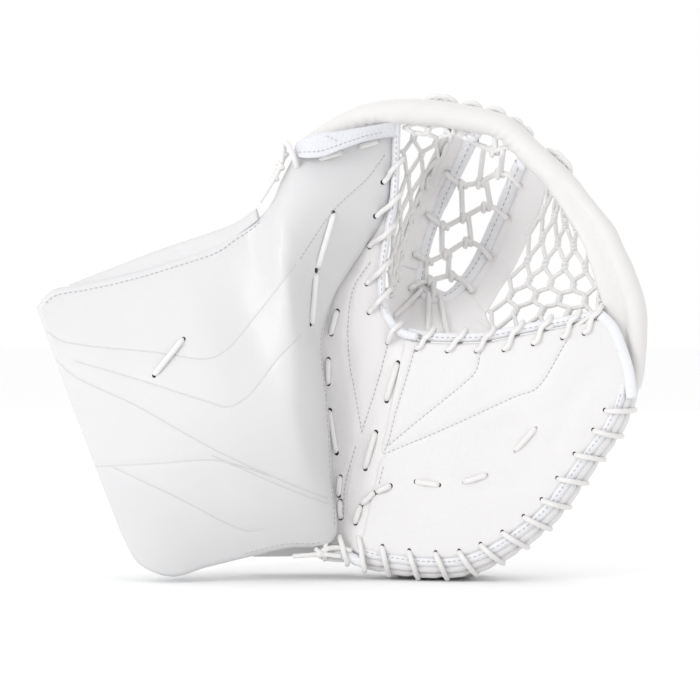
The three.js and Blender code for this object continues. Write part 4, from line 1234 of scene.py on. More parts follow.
def roll_piece(start, end, name, body, node):
    """Padded tube with a sewn seam and soft wrinkles pulled in across it where it bends."""
    first, last = int(round(start * ROLL_LENGTH)), int(round(end * ROLL_LENGTH))
    all_tangents = directions(ROLL_LINE)
    sides = 72
    turn = full_turn(sides)
    rings = []
    for i in range(first, last + 1):
        share = i / ROLL_LENGTH
        wide, deep, inward = (profile_at(share, k) for k in (1, 2, 3))
        p, t = ROLL_LINE[i], all_tangents[i]
        side = np.array([t[2], 0, -t[0]])
        side /= np.linalg.norm(side)
        spots = [(p[0] * 0.09 + math.cos(a) * 0.8, math.sin(a) * 0.8, p[2] * 0.09) for a in turn]
        fold = np.array([noise.noise(Vector(spot)) for spot in spots])
        pull = sum(strong * math.exp(-(((share - where) / 0.035) ** 2)) for where, strong in ROLL_PULLS)
        wave = np.sin(i * 1.25 + 2.2 * np.sin(turn) + 2 * fold) * pull * (0.5 + 0.5 * np.cos(turn)) ** 2
        seam = np.exp(-((np.angle(np.exp(1j * (turn - 2.3))) / 0.14) ** 2))
        shrink = 1 + 0.045 * fold - 0.07 * seam + 0.075 * wave
        cap = math.sqrt(max(1 - max(1 - min(i, ROLL_LENGTH - i) / 4, 0) ** 2, 0.05))
        centre = p + side * inward
        depth = np.sin(turn) * deep
        flapped = np.clip((share - 0.52) / 0.12, 0, 1) * np.clip((1.0 - share) / 0.06, 0, 1)
        depth = lerp(depth, -flap_front(np.cos(turn), wide), ease(flapped) * (depth < 0))
        rings.append(
            centre + np.outer(np.cos(turn) * wide * cap * shrink, side)
            + np.outer(depth * cap * shrink, (0, 1, 0))
        )
    obj = solid(name, [flat_loft(rings)], ROLL)
    count = len(rings)
    rims = set(range(sides)), set(range((count - 1) * sides, count * sides))
    for edge in obj.data.edges:
        a, b = edge.vertices
        if any(a in rim and b in rim for rim in rims):
            edge.use_edge_sharp = True
    place_piece(obj, body, "roll_leather", node)


FLEX_START = nearest_share((59, 10, 309))
FLEX_END = nearest_share((95, 8, 303))
WING_START = nearest_share((171, -4, 225))
roll_piece(0.0, FLEX_START, "roll_thumb_padding", THUMB, "roll_thumb")
roll_piece(FLEX_START, FLEX_END, "roll_flex_padding", AT_ROLL, "roll_flex")
roll_piece(FLEX_END, WING_START, "roll_finger_padding", FINGER, "roll_finger")
roll_piece(WING_START, 1.0, "finger_tip_padding", FINGER, "finger_tip_wing")
# Each tie over the roll's back: its place and its half length.
ROLL_TIES = [
    ((62, 10, 309), 7.5), ((67, 10, 309), 8.5), ((84, 10, 306), 6), ((100, 8, 302), 6),
    ((110, 6, 297), 4), ((116, 6, 291), 4), ((136, 2, 272.5), 9), ((139.5, 1.5, 269), 8),
]


def roll_loops():
    """Lace that ties the pocket to the roll, seen as low loops over its back."""
    flex_parts, finger_parts = [], []
    for place, half in ROLL_TIES:
        share = nearest_share(place)
        i = int(round(share * ROLL_LENGTH))
        p = ROLL_LINE[i]
        t = ROLL_LINE[min(i + 2, ROLL_LENGTH)] - ROLL_LINE[max(i - 2, 0)]
        t = t / np.linalg.norm(t)
        out = np.array([-t[2], 0, t[0]])
        if out[2] < 0:
            out = -out
        wide = profile_at(share, 1) - profile_at(share, 3)
        loop = [
            p - t * half + out * (wide - 5) + (0, 7.5, 0),
            p - t * half * 0.85 + out * wide + (0, 4.5, 0),
            p + out * (wide + 0.35 * half) + (0, 3.5, 0),
            p + t * half * 0.85 + out * wide + (0, 4.5, 0),
            p + t * half + out * (wide - 5) + (0, 7.5, 0),
        ]
        target = flex_parts if p[0] < 92 else finger_parts
        target.append(wound_lace(loop, 1.25, 1.2))
    place_piece(solid("roll_ties_flex", flex_parts, LACE), AT_ROLL, "lace_cord")
    place_piece(solid("roll_ties_finger", finger_parts, LACE), FINGER, "lace_cord")


roll_loops()


# ---------------------------------------------------------------- palm
OUTLINE = flat_spline([
    (197, 138), (193, 117), (183.5, 96), (170, 78), (158, 61), (144.5, 42.5), (129, 28), (110, 14.5),
    (93, 6), (77, 1.8), (61, 0.9), (41, 2), (16.5, 6), (4, 10),
])
outline_out = outward_of(OUTLINE, -1)
RIM_STEPS = np.linspace(0, 1, 600)
RIM_SPANS = np.linalg.norm(np.diff([OUTLINE(t) for t in RIM_STEPS], axis=0), axis=1)
RIM_LENGTH = np.concatenate([[0], np.cumsum(RIM_SPANS)])
LACE_COUNT = 12
FIRST_LACE, LAST_LACE = np.interp([0.115, 0.9], RIM_STEPS, RIM_LENGTH)
LACE_HOLES = np.interp(np.linspace(FIRST_LACE, LAST_LACE, LACE_COUNT), RIM_LENGTH, RIM_STEPS)
LACE_LEAN = 8.0  # how far along the rim each lace leans towards the finger tips


def rim_place(t, inset, back):
    place = OUTLINE(t) - outline_out(t) * inset
    place[1] = palm_front(place[0], place[2]) + back
    return place


PALM_TOP = flat_spline([
    (42, 161), (55, 158), (75, 157), (95, 158), (115, 162), (135, 166), (155, 170), (172, 173),
    (184, 155), (188, 132),
])
PALM_LOW = flat_spline([
    (8, 17), (30, 11), (55, 9), (80, 11.5), (103, 21.5), (124, 36.5), (143, 57.5), (161, 79),
    (175, 98), (184.5, 117),
])
PALM_LEATHER = 5.0
PALM_INSET = 15.0  # the palm leather stops this far inside the laced outline
PALM_TIP_T = 0.06
PALM_HEEL_T = 0.975
SEAM_C = [(30, 155), (23, 129), (13, 98)]
SEAM_D = [(47.7, 152), (41, 129), (35.6, 111.5), (29.5, 88.5), (26, 83), (20.6, 64)]
SEAM_E = [(91, 151), (88, 138.6), (81.6, 132), (55, 110), (30, 89)]
SEAM_F = [(147, 159), (127.6, 128), (115, 123), (70, 102), (26, 83)]
PALM_CREASES = [
    [(150, 120), (128, 108), (100, 100)],
    [(120, 70), (92, 64), (60, 70)],
    [(165, 140), (150, 118), (140, 92)],
]


def palm_edge(v):
    """Edge of the palm leather inside the laced rim, v 0 at the heel and 1 at the finger tips."""
    t = lerp(PALM_HEEL_T, PALM_TIP_T, v)
    return OUTLINE(t) - outline_out(t) * lerp(12.5, PALM_INSET, math.sin(math.pi * v) ** 0.5)


def palm_skin():
    grid = surface(lambda u, v: lerp(PALM_TOP(v), palm_edge(v), u), 170, 130)
    x, z = grid[..., 0], grid[..., 2]
    grid[..., 1] = palm_front(x, z)
    press(grid, [SEAM_D, SEAM_E, SEAM_F], 1.5, 0.8)
    press(grid, PALM_CREASES, 7.0, 0.7)
    grid[..., 1] += 0.5 * lumps(grid, 32.0, 6)
    heel, tips, rim, top = grid[0], grid[-1], grid[:, -1], grid[:, 0]
    distance = np.minimum.reduce([line_distance(x, z, side[:, [0, 2]]) for side in (tips, rim, top)])
    fall = soft_edge(distance, 2.6)
    fall = np.maximum(fall, 0.5 * soft_edge(line_distance(x, z, heel[:, [0, 2]]), 1.2))
    back = grid.copy()
    back[..., 1] += PALM_LEATHER - fall * 0.5
    grid[..., 1] += fall
    skin = closed_panel("palm_skin", grid, back, PALM)
    return place_piece(skin, FINGER, "white_leather", "palm_face")


PALM_OBJECT = palm_skin()
PALM_TREE = tree_of(PALM_OBJECT)
PALM_LACES = [((48.6, 66), (64, 64)), ((80, 66), (95, 71)), ((127, 102), (113.5, 87))]


def palm_trim():
    for name, seam in (("d", SEAM_D), ("e", SEAM_E), ("f", SEAM_F)):
        sew(f"palm_stitches_{name}", seam, PALM_TREE, FINGER, pitch=3.2)
    add_laces("palm_face_laces", PALM_LACES, PALM_TREE, FINGER, lift=0.4)
    punch("palm_lace_holes", PALM_LACES[0], PALM_TREE, FINGER)
    shallow = [spot for pair in PALM_LACES[1:] for spot in pair]
    # These holes get the grey thread tone instead: a lighter painted shade for holes the lace fills.
    punch("palm_shallow_holes", shallow, PALM_TREE, FINGER, size=1.3, tone=PALE_THREAD)


def palm_liner():
    def front(u, v):
        t = lerp(0.06, 0.68, v)
        place = lerp(PALM_TOP(t), PALM_LOW(t), lerp(0.09, 0.84, u))
        place[1] = palm_front(place[0], place[2]) + PALM_LEATHER + 0.6
        return place

    grid = surface(front, 50, 34)
    back = grid.copy()
    fall = edge_fall(grid, 4.0)
    quilt = np.sin(np.linspace(0, 5 * np.pi, 34))[None, :] ** 2
    back[..., 1] += 8 - fall + 0.8 * quilt
    liner = closed_panel("palm_liner_foam", grid, back, LINER)
    place_piece(liner, FINGER, "knit_fabric", "palm_liner")


palm_trim()
palm_liner()


# ---------------------------------------------------------------- laced perimeter
def rope_tube(name, inset, back, radius, pinch, nodes, material, ribs=0.0):
    """Welt pulled in by each turn of the lace, so it bulges between them."""
    points = np.array([rim_place(t, inset, back) for t in np.linspace(0.035, 0.985, 440)])
    points = resampled(points, 1.1)
    points[:, 2] = np.maximum(points[:, 2], radius)
    bulge = np.ones(len(points))
    for hole in LACE_HOLES:
        lace = rim_place(hole - lean_step(hole) * 0.55, inset, back)
        bulge -= pinch * np.exp(-((np.linalg.norm(points - lace, axis=1) / 2.6) ** 2))
    obj = solid(name, [tube_mesh(points, ribbed(points, radius * bulge, ribs), 18)], material)
    return place_piece(obj, FINGER, "knit_fabric", *nodes)


def lean_step(hole):
    """The lace's lean, as a step along the outline's own parameter."""
    length = np.interp(hole, RIM_STEPS, RIM_LENGTH)
    return hole - float(np.interp(length - LACE_LEAN, RIM_LENGTH, RIM_STEPS))


RIM_BINDING = rope_tube(
    "perimeter_binding_knit", 12.4, 3.2, 3.3, 0.14, ["perimeter_binding"], BINDING, ribs=0.03
)
RIM_STITCHES = [tuple(rim_place(t, 12.8, 0)[[0, 2]]) for t in np.linspace(0.06, 0.96, 40)]
sew("perimeter_stitches", RIM_STITCHES, tree_of(RIM_BINDING), FINGER, pitch=3.4)
rope_tube("perimeter_welt_front_leather", 8.0, 6.2, 3.1, 0.3, ["perimeter_welt_front"], PALM)
rope_tube("perimeter_welt_middle_leather", 4.4, 11.5, 3.5, 0.3, [], PALM)
rope_tube("perimeter_welt_back_leather", 4.6, 18.5, 4.1, 0.28, ["perimeter_welt_back"], PALM)
rope_tube("perimeter_back_piping", 7.6, 25.5, 4.0, 0.2, [], BINDING, ribs=0.035)
# The lace's turn over the rim: share of its lean, how far inside the outline, how far behind the palm.
LACE_ROUTE = [
    (0, 17.8, 3.4), (0, 17.6, -0.6), (0.12, 15.6, -2.2), (0.35, 11.6, -2.4), (0.6, 7.2, 0.8), (0.82, 3.2, 6),
    (1, 0.4, 12), (1, 0.3, 19.5), (0.8, 2.8, 26.8), (0.6, 7, 31.4), (0.5, 12.5, 33.5),
]


def perimeter_lace():
    """One lace per hole: up through the palm, out over the rim and round to the back."""
    parts = []
    for hole in LACE_HOLES:
        lean = lean_step(hole)
        route = [rim_place(hole - lean * share, inset, back) for share, inset, back in LACE_ROUTE]
        parts.append(wound_lace(route))
    place_piece(solid("perimeter_lace_cord", parts, LACE), FINGER, "lace_cord", "perimeter_lace")
    spots = [tuple(rim_place(hole, 19.0, 0)[[0, 2]]) for hole in LACE_HOLES]
    punch("perimeter_holes", spots, PALM_TREE, FINGER)


perimeter_lace()


def palm_side_edge():
    """Bound edge down the finger-tip side of the palm."""
    line = [(169, 176), (176, 169), (182, 156), (187, 139), (189, 122)]
    fine = smooth_line([(x, 0, z) for x, z in line], 1.3)
    fine[:, 1] = palm_front(fine[:, 0], fine[:, 2]) + 0.6
    band = flat_lace_mesh(fine, 3.6, 2.2, facing_front(fine), sides=18)
    place_piece(solid("palm_side_binding", [band], BINDING), FINGER, "knit_fabric")


palm_side_edge()


# ---------------------------------------------------------------- palm top edge under the pocket
TOP_EDGE = flat_spline([
    (44, 160), (55, 157.5), (75, 156.5), (95, 157.5), (115, 161.5), (135, 165.5), (155, 169.5), (170, 172.5),
])


def top_place(t, up, back):
    place = TOP_EDGE(t) + np.array([0, 0, up])
    place[1] = palm_front(place[0], place[2]) + back
    return place


def palm_top():
    path = resampled(np.array([top_place(t, 4.4, 4) for t in np.linspace(0, 1, 120)]), 1.2)
    binding = solid("palm_top_knit_binding", [tube_mesh(path, ribbed(path, 3.1), 16)], BINDING)
    place_piece(binding, FINGER, "knit_fabric", "palm_top_binding")
    row = [(p[0], p[2]) for p in path[::6]]
    sew("palm_top_stitches", row, tree_of(binding), FINGER, pitch=3.6, thread=THREAD)
    holes = [(50, 154), (70, 153), (89, 153), (107, 154), (126, 158), (145, 162), (159, 165)]
    over = [(-3, -4.4, -1.5), (0.5, -4.6, 1.5), (3, -1.0, 5.0), (3.5, 3.4, 4.6), (2, 5.6, 0), (-2, 6.0, -5)]
    parts = []
    for x, z in holes:
        rim = path[int(np.argmin(np.abs(path[:, 0] - (x + 8))))]
        parts.append(wound_lace(over_edge([(x, z), (x + 2, z + 1)], PALM_TREE, 1.4, 3.4, rim, over)))
    place_piece(solid("palm_top_lace_cord", parts, LACE), FINGER, "lace_cord", "palm_top_lace")
    punch("palm_top_holes", [(x - 0.8, z - 0.8) for x, z in holes], PALM_TREE, FINGER, size=1.7)


def finger_top_panel():
    def low(u, v):
        return top_place(lerp(0.03, 0.97, v), -7, 0) + np.array([0, lerp(15, 29, u), 0])

    grid = surface(low, 70, 14)
    grid[..., 2] += 0.5 * np.sin(np.linspace(0, 18 * np.pi, 70))[:, None] * 0.3
    upper = grid + np.array([0, 0, 4.0])
    panel = closed_panel("finger_top_padding", grid, upper, PALM)
    place_piece(panel, FINGER, "white_leather", "finger_top_panel")


palm_top()
finger_top_panel()


# ---------------------------------------------------------------- back of the fingers
SHELL_TOP = flat_spline([
    (36, 158), (55, 156), (75, 155), (95, 156), (115, 160), (135, 164), (155, 168), (171, 172),
    (183, 154), (189, 131),
])
SHELL_LOW = flat_spline([
    (30, 4.4), (42, -0.8), (60, -1.6), (80, -0.8), (103, 11.5), (125, 26.5), (145, 45), (163, 70),
    (178, 90), (189, 116),
])
SHELL_EDGE_Y = 29.7
SHELL_WALL = 8.0


def shell_back(u, v):
    across = 1 - abs(2 * u - 1) ** 2.5
    return 60 - 14 * v ** 2 + 24 * across * (1 - v ** 5)


def shell_place(u, v):
    place = lerp(SHELL_TOP(v), SHELL_LOW(v), u)
    place[2] = max(place[2], 0.3)
    return place


def back_shell():
    """Domed wall with real thickness, open on the palm side and towards the wrist."""
    rows, columns = 90, 70

    def outer(u, v):
        place = shell_place(u, v)
        place[1] = shell_back(u, v)
        return place

    outside = surface(outer, rows, columns)
    inside = surface(outer, rows, columns, across=(0.06, 0.93), along=(0.0, 0.93))
    inside[..., 1] -= SHELL_WALL
    for grid in (outside, inside):
        grid[..., 1] += 0.6 * lumps(grid, 26.0, 8)
    verts = [outside.reshape(-1, 3), inside.reshape(-1, 3)]
    faces = grid_faces(rows, columns, flip=True) + grid_faces(rows, columns, rows * columns)
    base = 2 * rows * columns
    rim = grid_rim(rows, columns)
    walls = 10
    outer_wall, inner_wall = [], []
    for j, i in rim:
        top, under = outside[j, i], inside[j, i]
        edge_y = palm_front(top[0], top[2]) + SHELL_EDGE_Y
        inner_edge_y = palm_front(under[0], under[2]) + SHELL_EDGE_Y
        on_wrist = j == 0
        for k in range(1, walls + 1):
            share = k / walls
            stop = top[1] - SHELL_WALL if on_wrist else edge_y
            inner_stop = under[1] - 0.01 if on_wrist else inner_edge_y
            outer_wall.append([top[0], lerp(top[1], stop, share), top[2]])
            inner_wall.append([under[0], lerp(under[1], inner_stop, share), under[2]])
    count = len(rim)
    verts += [np.array(outer_wall), np.array(inner_wall)]

    def outer_index(n, k):
        j, i = rim[n]
        return j * columns + i if k == 0 else base + n * walls + k - 1

    def inner_index(n, k):
        j, i = rim[n]
        return (rows + j) * columns + i if k == 0 else base + (count + n) * walls + k - 1

    for n in range(count):
        m = (n + 1) % count
        for k in range(walls):
            faces.append((outer_index(n, k), outer_index(m, k), outer_index(m, k + 1), outer_index(n, k + 1)))
            faces.append((inner_index(m, k), inner_index(n, k), inner_index(n, k + 1), inner_index(m, k + 1)))
        ends = outer_index(n, walls), outer_index(m, walls), inner_index(m, walls), inner_index(n, walls)
        faces.append(ends)
    shell = new_object("finger_back_leather", np.concatenate(verts), faces, PALM)
    place_piece(shell, FINGER, "white_leather", "finger_back_shell")


back_shell()


def finger_back_pad(name, start, end, node):
    def front(u, v):
        a, b = lerp(start + 0.012, end - 0.012, u), lerp(0.1, 0.7, v)
        place = shell_place(a, b)
        place[1] = shell_back(a, b) + 0.8
        return place

    grid = surface(front, 60, 24)
    back = grid.copy()
    back[..., 1] += 2.0 + 5.0 * dome(even_steps(60), even_steps(24), 0.4)
    lines = []
    for b in (0.24, 0.4, 0.56):
        lines.append([tuple(shell_place(lerp(start, end, a), b)[[0, 2]]) for a in (0.02, 0.5, 0.98)])
    blown_pad(
        name, grid, back, lines, FINGER, node,
        cap=3, channel=(2.4, 2.0), stitches=f"{name}_stitches",
    )


for finger, start, end in (("index", 0.10, 0.35), ("middle", 0.38, 0.63), ("little", 0.66, 0.90)):
    finger_back_pad(f"finger_back_padding_{finger}", start, end, f"finger_back_pad_{finger}")


def finger_divider(name, height, tip, node):
    def place(u, v):
        x = lerp(92, tip, v)
        front_y = palm_front(x, height) + PALM_LEATHER + 9
        return np.array([x, lerp(front_y, 60, u), height - 8 * v])

    low = surface(place, 30, 20)
    wave = 0.5 * np.sin(np.linspace(0, 5 * np.pi, 30))[:, None]
    low[..., 2] += 0.3 + wave * 0.4
    high = low + np.array([0, 0, 3.4])
    wall = closed_panel(name, low, high, LINER)
    place_piece(wall, FINGER, "knit_fabric", node)


for finger, height, tip in (("index", 122, 158), ("middle", 90, 150), ("little", 60, 130)):
    finger_divider(f"finger_wall_{finger}", height, tip, f"finger_divider_{finger}")


# ---------------------------------------------------------------- pieces that cross the break
GUSSET_LEFT = flat_spline([(-14, 27), (-16, 66), (-19, 112), (-24, 158), (-15, 190), (3, 220), (22, 248)])
GUSSET_RIGHT = flat_spline([
    (14, 16), (23, 60), (33.5, 105), (44.5, 160), (32, 173), (27, 187), (25.5, 206), (31, 246),
])
SEAM_A = [(18.5, 210), (8, 194), (4, 170), (5, 145), (9, 122), (13, 99)]
SEAM_A_LOW = [(9, 88.5), (4.6, 73), (2, 62), (1, 40)]


def break_gusset():
    grid = surface(lambda u, v: lerp(GUSSET_LEFT(v), GUSSET_RIGHT(v), u), 170, 34)
    across = even_steps(34)[None, :]
    x, z = grid[..., 0], grid[..., 2]
    meet = ease(np.clip((across - 0.42) / 0.42, 0, 1))
    low_half = np.clip((168 - z) / 20, 0, 1)
    under_board = 14 * np.clip(1 - across / 0.52, 0, 1) ** 1.3
    grid[..., 1] = VALLEY_Y + 2.2 * np.sin(np.pi * across) * (1 - meet) + under_board
    grid[..., 1] = lerp(grid[..., 1], palm_front(x, z) + 1.2, meet * low_half)
    press(grid, [SEAM_A, SEAM_A_LOW, SEAM_C], 1.3, 0.8)
    grid[..., 1] += 0.6 * lumps(grid, 14.0, 9)
    sides = grid[0], grid[-1], grid[:, 0]
    distance = np.minimum.reduce([line_distance(x, z, side[:, [0, 2]]) for side in sides])
    fall = soft_edge(distance, 1.5)
    back = grid.copy()
    back[..., 1] += 4.0 - fall * 0.5
    grid[..., 1] += fall
    gusset = closed_panel("break_leather", grid, back, GUSSET)
    return place_piece(gusset, AT_BREAK, "white_leather", "break_gusset")


GUSSET_OBJECT = break_gusset()
GUSSET_TREE = tree_of(GUSSET_OBJECT)
FOLD_TREE = tree_of(GUSSET_OBJECT, PALM_OBJECT, board)
BREAK_RUNS = [
    ((-3, 178), (-7, 163)), ((-9, 146), (-9, 130)), ((-8, 112), (-3.5, 84)), ((-1, 68), (-2, 56)),
    ((-1, 52), (-1, 41)),
]
SIDE_RUNS = [
    ((37, 144), (29.5, 119)), ((22.5, 98), (15.5, 74)), ((32, 63), (23.5, 59)), ((21.5, 58), (13.5, 51)),
    ((12.5, 49), (9, 38)),
]


def break_trim():
    for name, seam in (("a", SEAM_A), ("a_low", SEAM_A_LOW), ("c", SEAM_C)):
        sew(f"break_stitches_{name}", seam, GUSSET_TREE, AT_BREAK, pitch=3.2)
    add_laces("break_lace_runs", BREAK_RUNS, FOLD_TREE, AT_BREAK, "break_lace")
    add_laces("palm_side_lace_runs", SIDE_RUNS, FOLD_TREE, AT_BREAK, "palm_side_lace")
    holes = [hole for run in BREAK_RUNS + SIDE_RUNS for hole in run]
    punch("break_holes", holes, FOLD_TREE, AT_BREAK, size=1.8)


def corner_binding():
    """Knit edge from the foot of the thumb's binding to the palm's top edge, with the lace that closes it."""
    line = [
        (27, 17.5, 186), (28, 17.5, 180), (31, 17, 173), (36, 15.5, 166.5), (42, 13, 163), (49, 11, 161.5),
    ]
    path = smooth_line(line, 1.2)
    edging = solid("corner_knit_binding", [tube_mesh(path, ribbed(path, 2.9), 16)], BINDING)
    place_piece(edging, AT_BREAK, "knit_fabric")
    x, z = 30.5, 158
    rim = path[int(np.argmin(np.hypot(path[:, 0] - x - 5, path[:, 2] - z - 9)))]
    over = [(-2.5, -4.2, -2), (1, -4, 1.4), (3.6, 0.5, 3), (3, 5, 3)]
    lace = wound_lace(over_edge([(x, z)], FOLD_TREE, 1.3, 3, rim, over))
    place_piece(solid("corner_lace_cord", [lace], LACE), AT_BREAK, "lace_cord")
    punch("corner_holes", [(30, 157.3)], FOLD_TREE, AT_BREAK, size=1.7)


def back_gusset():
    def front(u, v):
        return np.array([lerp(4, 36, u), 55 + 2 * math.sin(math.pi * u), lerp(18, 146, v)])

    grid = surface(front, 70, 40)
    pleats = 0.5 * np.sin(np.linspace(0, 10 * np.pi, 40))[None, :]
    grid[..., 1] += pleats
    obj = padded_skin("back_break_fabric", grid, 2.5, 0.8, LINER)
    place_piece(obj, AT_BREAK, "knit_fabric", "back_gusset")


break_trim()
corner_binding()
back_gusset()


# ---------------------------------------------------------------- laces on the cuff, thumb and thumb edge
def thumb_laces():
    face = [((-5.6, 243), (-16.8, 207)), ((-17.6, 203.5), (-21, 170))]
    add_laces("thumb_face_lace_runs", face, BOARD_TREE, THUMB, "thumb_face_lace")
    add_laces("cuff_lace_run", [((-103, 160.5), (-122, 137))], BOARD_TREE, THUMB, "cuff_lace")
    holes = [(-5.6, 243), (-17.2, 205.2), (-21, 170), (-103, 160.5), (-122, 137)]
    punch("board_lace_holes", holes, BOARD_TREE, THUMB, size=1.6)


THUMB_EDGE = spline([(27, 18, 181), (26, 17, 200), (29, 16, 224), (34, 15, 250), (36, 13, 303)])
THUMB_LINE = sampled(THUMB_EDGE, 240)


def thumb_edge():
    path = sampled(THUMB_EDGE, 150)
    oval = flat_lace_mesh(path, 2.8, 6.0, facing_front(path), sides=22)
    band = solid("thumb_edge_knit_binding", [oval], BINDING)
    place_piece(band, THUMB, "knit_fabric", "thumb_inner_binding")
    row = [(p[0], p[2]) for p in path[:: len(path) // 12]]
    sew("thumb_edge_stitches", row, tree_of(band), THUMB, pitch=3.6, thread=THREAD)
    holes = [(27.5, 264), (22.6, 241.6), (19, 221.4), (17.2, 197), (18.5, 178)]
    over = [(-2.5, -8.2, -2.5), (1.0, -7.6, 1), (4.4, -3.0, 4.4), (4.4, 4.0, 5.4), (0, 8.6, 4), (-5, 8.4, 3)]
    parts = []
    for x, z in holes:
        rim = THUMB_LINE[int(np.argmin(np.abs(THUMB_LINE[:, 2] - (z + 9))))]
        route = over_edge([(x, z), (x + 1.6, z + 1.6)], FOLD_TREE, 1.4, 3.5, rim, over)
        parts.append(wound_lace(route, 1.1, 1.1))
    place_piece(solid("thumb_edge_lace_cord", parts, LACE), THUMB, "lace_cord", "thumb_edge_lace")
    punch("thumb_edge_holes", [(x - 0.8, z - 0.8) for x, z in holes], FOLD_TREE, THUMB, size=1.7)


def thumb_tip_knot():
    over_corner = [
        (-29, 4, 272.5), (-29.5, -6, 273.5), (-32, -10, 281), (-35, -7, 287), (-37, 0, 289), (-38, 6, 286),
        (-39, 6, 278), (-41, -1, 273), (-42, -5, 269),
    ]
    loose_turn = [(-36, 8, 282), (-40, 3, 277), (-43.5, -3, 272), (-43, -6, 267)]
    parts = [
        wound_lace(over_corner, 1.15, 1.4),
        wound_lace(loose_turn, 1.1, 1.4),
        knot_mesh((-40.5, -4.5, 273), 2.1, (-0.5, -0.2, -1), (1, 0, 0)),
        knot_mesh((-44, -6.5, 265.5), 2.0, (-0.4, -0.1, -1), (1, 0, 0)),
    ]
    for start, end in (((-14.5, 277.5), (-1, 281.8)), ((11, 286), (22.5, 290))):
        parts.append(surface_lace(start, end, BOARD_TREE, 2.2))
    place_piece(solid("thumb_tip_lace_cord", parts, LACE), THUMB, "lace_cord", "thumb_tip_lace")


def heel_knot():
    turn_back = [
        (6, 12, 20), (-4, 11.5, 22), (-12, 8.5, 20.5), (-15, 13, 17), (-10, 18, 14.5), (0, 20, 13.5),
        (6, 18, 14),
    ]
    parts = [wound_lace(turn_back, 1.15, 1.4), knot_mesh((-15, 9.5, 18.5), 2.6, (0.3, 0, 1), (1, 0, 0))]
    for x, lean, low in ((-10.5, -1, 16), (-1.5, 5, 12.5), (11, 4, 8)):
        loop = [
            (x, 19, 29), (x, 14.2, 28.4), (x + 0.3 * lean, 10.6, 24),
            (x + 0.7 * lean, 9.0, lerp(24, low, 0.7)), (x + lean, 11, low), (x + lean, 17, low - 2),
        ]
        parts.append(wound_lace(loop, spacing=1.2))
    place_piece(solid("heel_lace_cord", parts, LACE), AT_BREAK, "lace_cord", "heel_lace")
    hem = smooth_line([(-9, 17, 20.5), (-2, 15, 18.5), (6, 13.4, 15.5), (14, 12, 12)], 1.2)
    edging = solid("heel_knit_binding", [tube_mesh(hem, ribbed(hem, 3.4, 0.035), 16)], BINDING)
    place_piece(edging, AT_BREAK, "knit_fabric")


thumb_laces()
thumb_edge()
thumb_tip_knot()
heel_knot()


# ---------------------------------------------------------------- back of the hand and wrist strap
def backhand():
    left = spline([(-61, 64, 11), (-68, 63, 50), (-66, 63, 100), (-49, 62, 148)])
    right = spline([(11, 62, 11), (11, 62, 50), (11, 62, 100), (7, 62, 148)])
    grid = surface(lambda u, v: lerp(left(v), right(v), u), 54, 34)
    grid[..., 1] += 1.5
    back = grid.copy()
    back[..., 1] += 5 + 6 * dome(even_steps(54), even_steps(34))
    lines = [[(-60, z), (-25, z + 2), (8, z)] for z in (46, 82, 117)]
    blown_pad(
        "backhand_padding", grid, back, lines, THUMB, "backhand_pad",
        cap=4, channel=(3.0, 2.6), stitches="backhand_stitches",
    )


STRAP_X = -112.0
STRAP_HALF = 16.0
STRAP_Y = 70.0
RING_Z = 62.0
WEB_THICKNESS = 2.5


def web_strap(name, points, half, body, node):
    """Flat webbing in the YZ plane with rounded selvedges."""
    path = resampled(sampled(spline([(0, y, z) for y, z in points]), 200), 2.0)
    turn = full_turn(28)
    rings = []
    for p, t in zip(path, directions(path)):
        normal = np.array([0, -t[2], t[1]])
        wide = np.sign(np.cos(turn)) * np.abs(np.cos(turn)) ** 0.35 * half
        deep = np.sign(np.sin(turn)) * np.abs(np.sin(turn)) ** 0.8 * WEB_THICKNESS / 2
        centre = p + normal * WEB_THICKNESS / 2 + np.array([STRAP_X, 0, 0])
        rings.append(centre + np.outer(wide, (1, 0, 0)) + np.outer(deep, normal))
    place_piece(solid(name, [flat_loft(rings)], NYLON), body, "nylon_web", node)


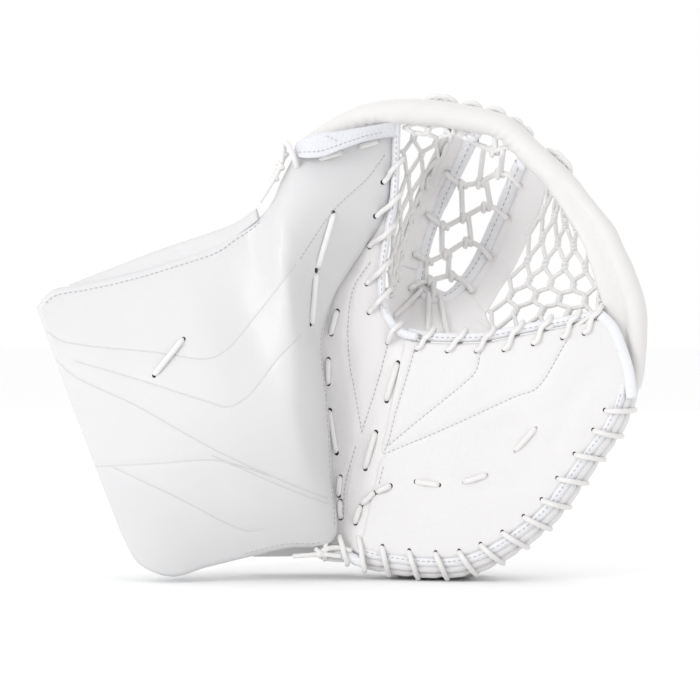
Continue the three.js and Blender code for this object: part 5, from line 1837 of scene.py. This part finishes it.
def strap_ring():
    """Moulded slot ring: a rounded rectangle bent round its window."""
    half_x, half_z, bar, corner = STRAP_HALF + 3.3, 4.0, 1.5, 2.4
    centre_line = []
    for sx, sz, start in ((1, 1, 0), (-1, 1, 90), (-1, -1, 180), (1, -1, 270)):
        for step in range(7):
            a = math.radians(start + 90 * step / 6)
            centre_line.append([
                STRAP_X + sx * (half_x - corner) + corner * math.cos(a), STRAP_Y - 1,
                RING_Z + sz * (half_z - corner) + corner * math.sin(a),
            ])
    loop = np.array(centre_line)
    count, sides = len(loop), 14
    centre = np.array([STRAP_X, STRAP_Y - 1, RING_Z])
    turn = full_turn(sides)
    tangents = np.roll(loop, -1, axis=0) - np.roll(loop, 1, axis=0)
    rings = []
    for p, t in zip(loop, tangents):
        t = t / np.linalg.norm(t)
        out = np.cross(t, (0, 1, 0))
        if out @ (p - centre) < 0:
            out = -out
        rings.append(p + np.outer(np.cos(turn) * bar, out) + np.outer(np.sin(turn) * bar, (0, 1, 0)))
    verts = np.concatenate(rings)
    faces = [tuple(k % len(verts) for k in face) for face in ring_faces(count + 1, sides)]
    obj = new_object("wrist_ring_moulded", verts, faces, PLASTIC)
    place_piece(obj, "strap_ring", "ring_plastic", "wrist_strap_ring")


backhand()
STRAP_ROUTE = [
    (9, 190), (20, 193), (42, 186), (62, 166), (STRAP_Y, 135), (STRAP_Y, 100), (STRAP_Y, RING_Z + 8),
]
TAB_ROUTE = [(9, 27), (20, 20), (42, 22), (58, 32), (67, 46), (STRAP_Y, RING_Z - 7)]
FLAP_ROUTE = [(STRAP_Y + 5.5, RING_Z + 5), (STRAP_Y + 6, 54), (72, 42), (63, 29)]
web_strap("wrist_strap_web", STRAP_ROUTE, STRAP_HALF, THUMB, "wrist_strap")
web_strap("wrist_tab_web", TAB_ROUTE, STRAP_HALF, THUMB, "wrist_strap_tab")
web_strap("wrist_flap_web", FLAP_ROUTE, STRAP_HALF - 1, "strap_flap", "wrist_strap_flap")
strap_ring()
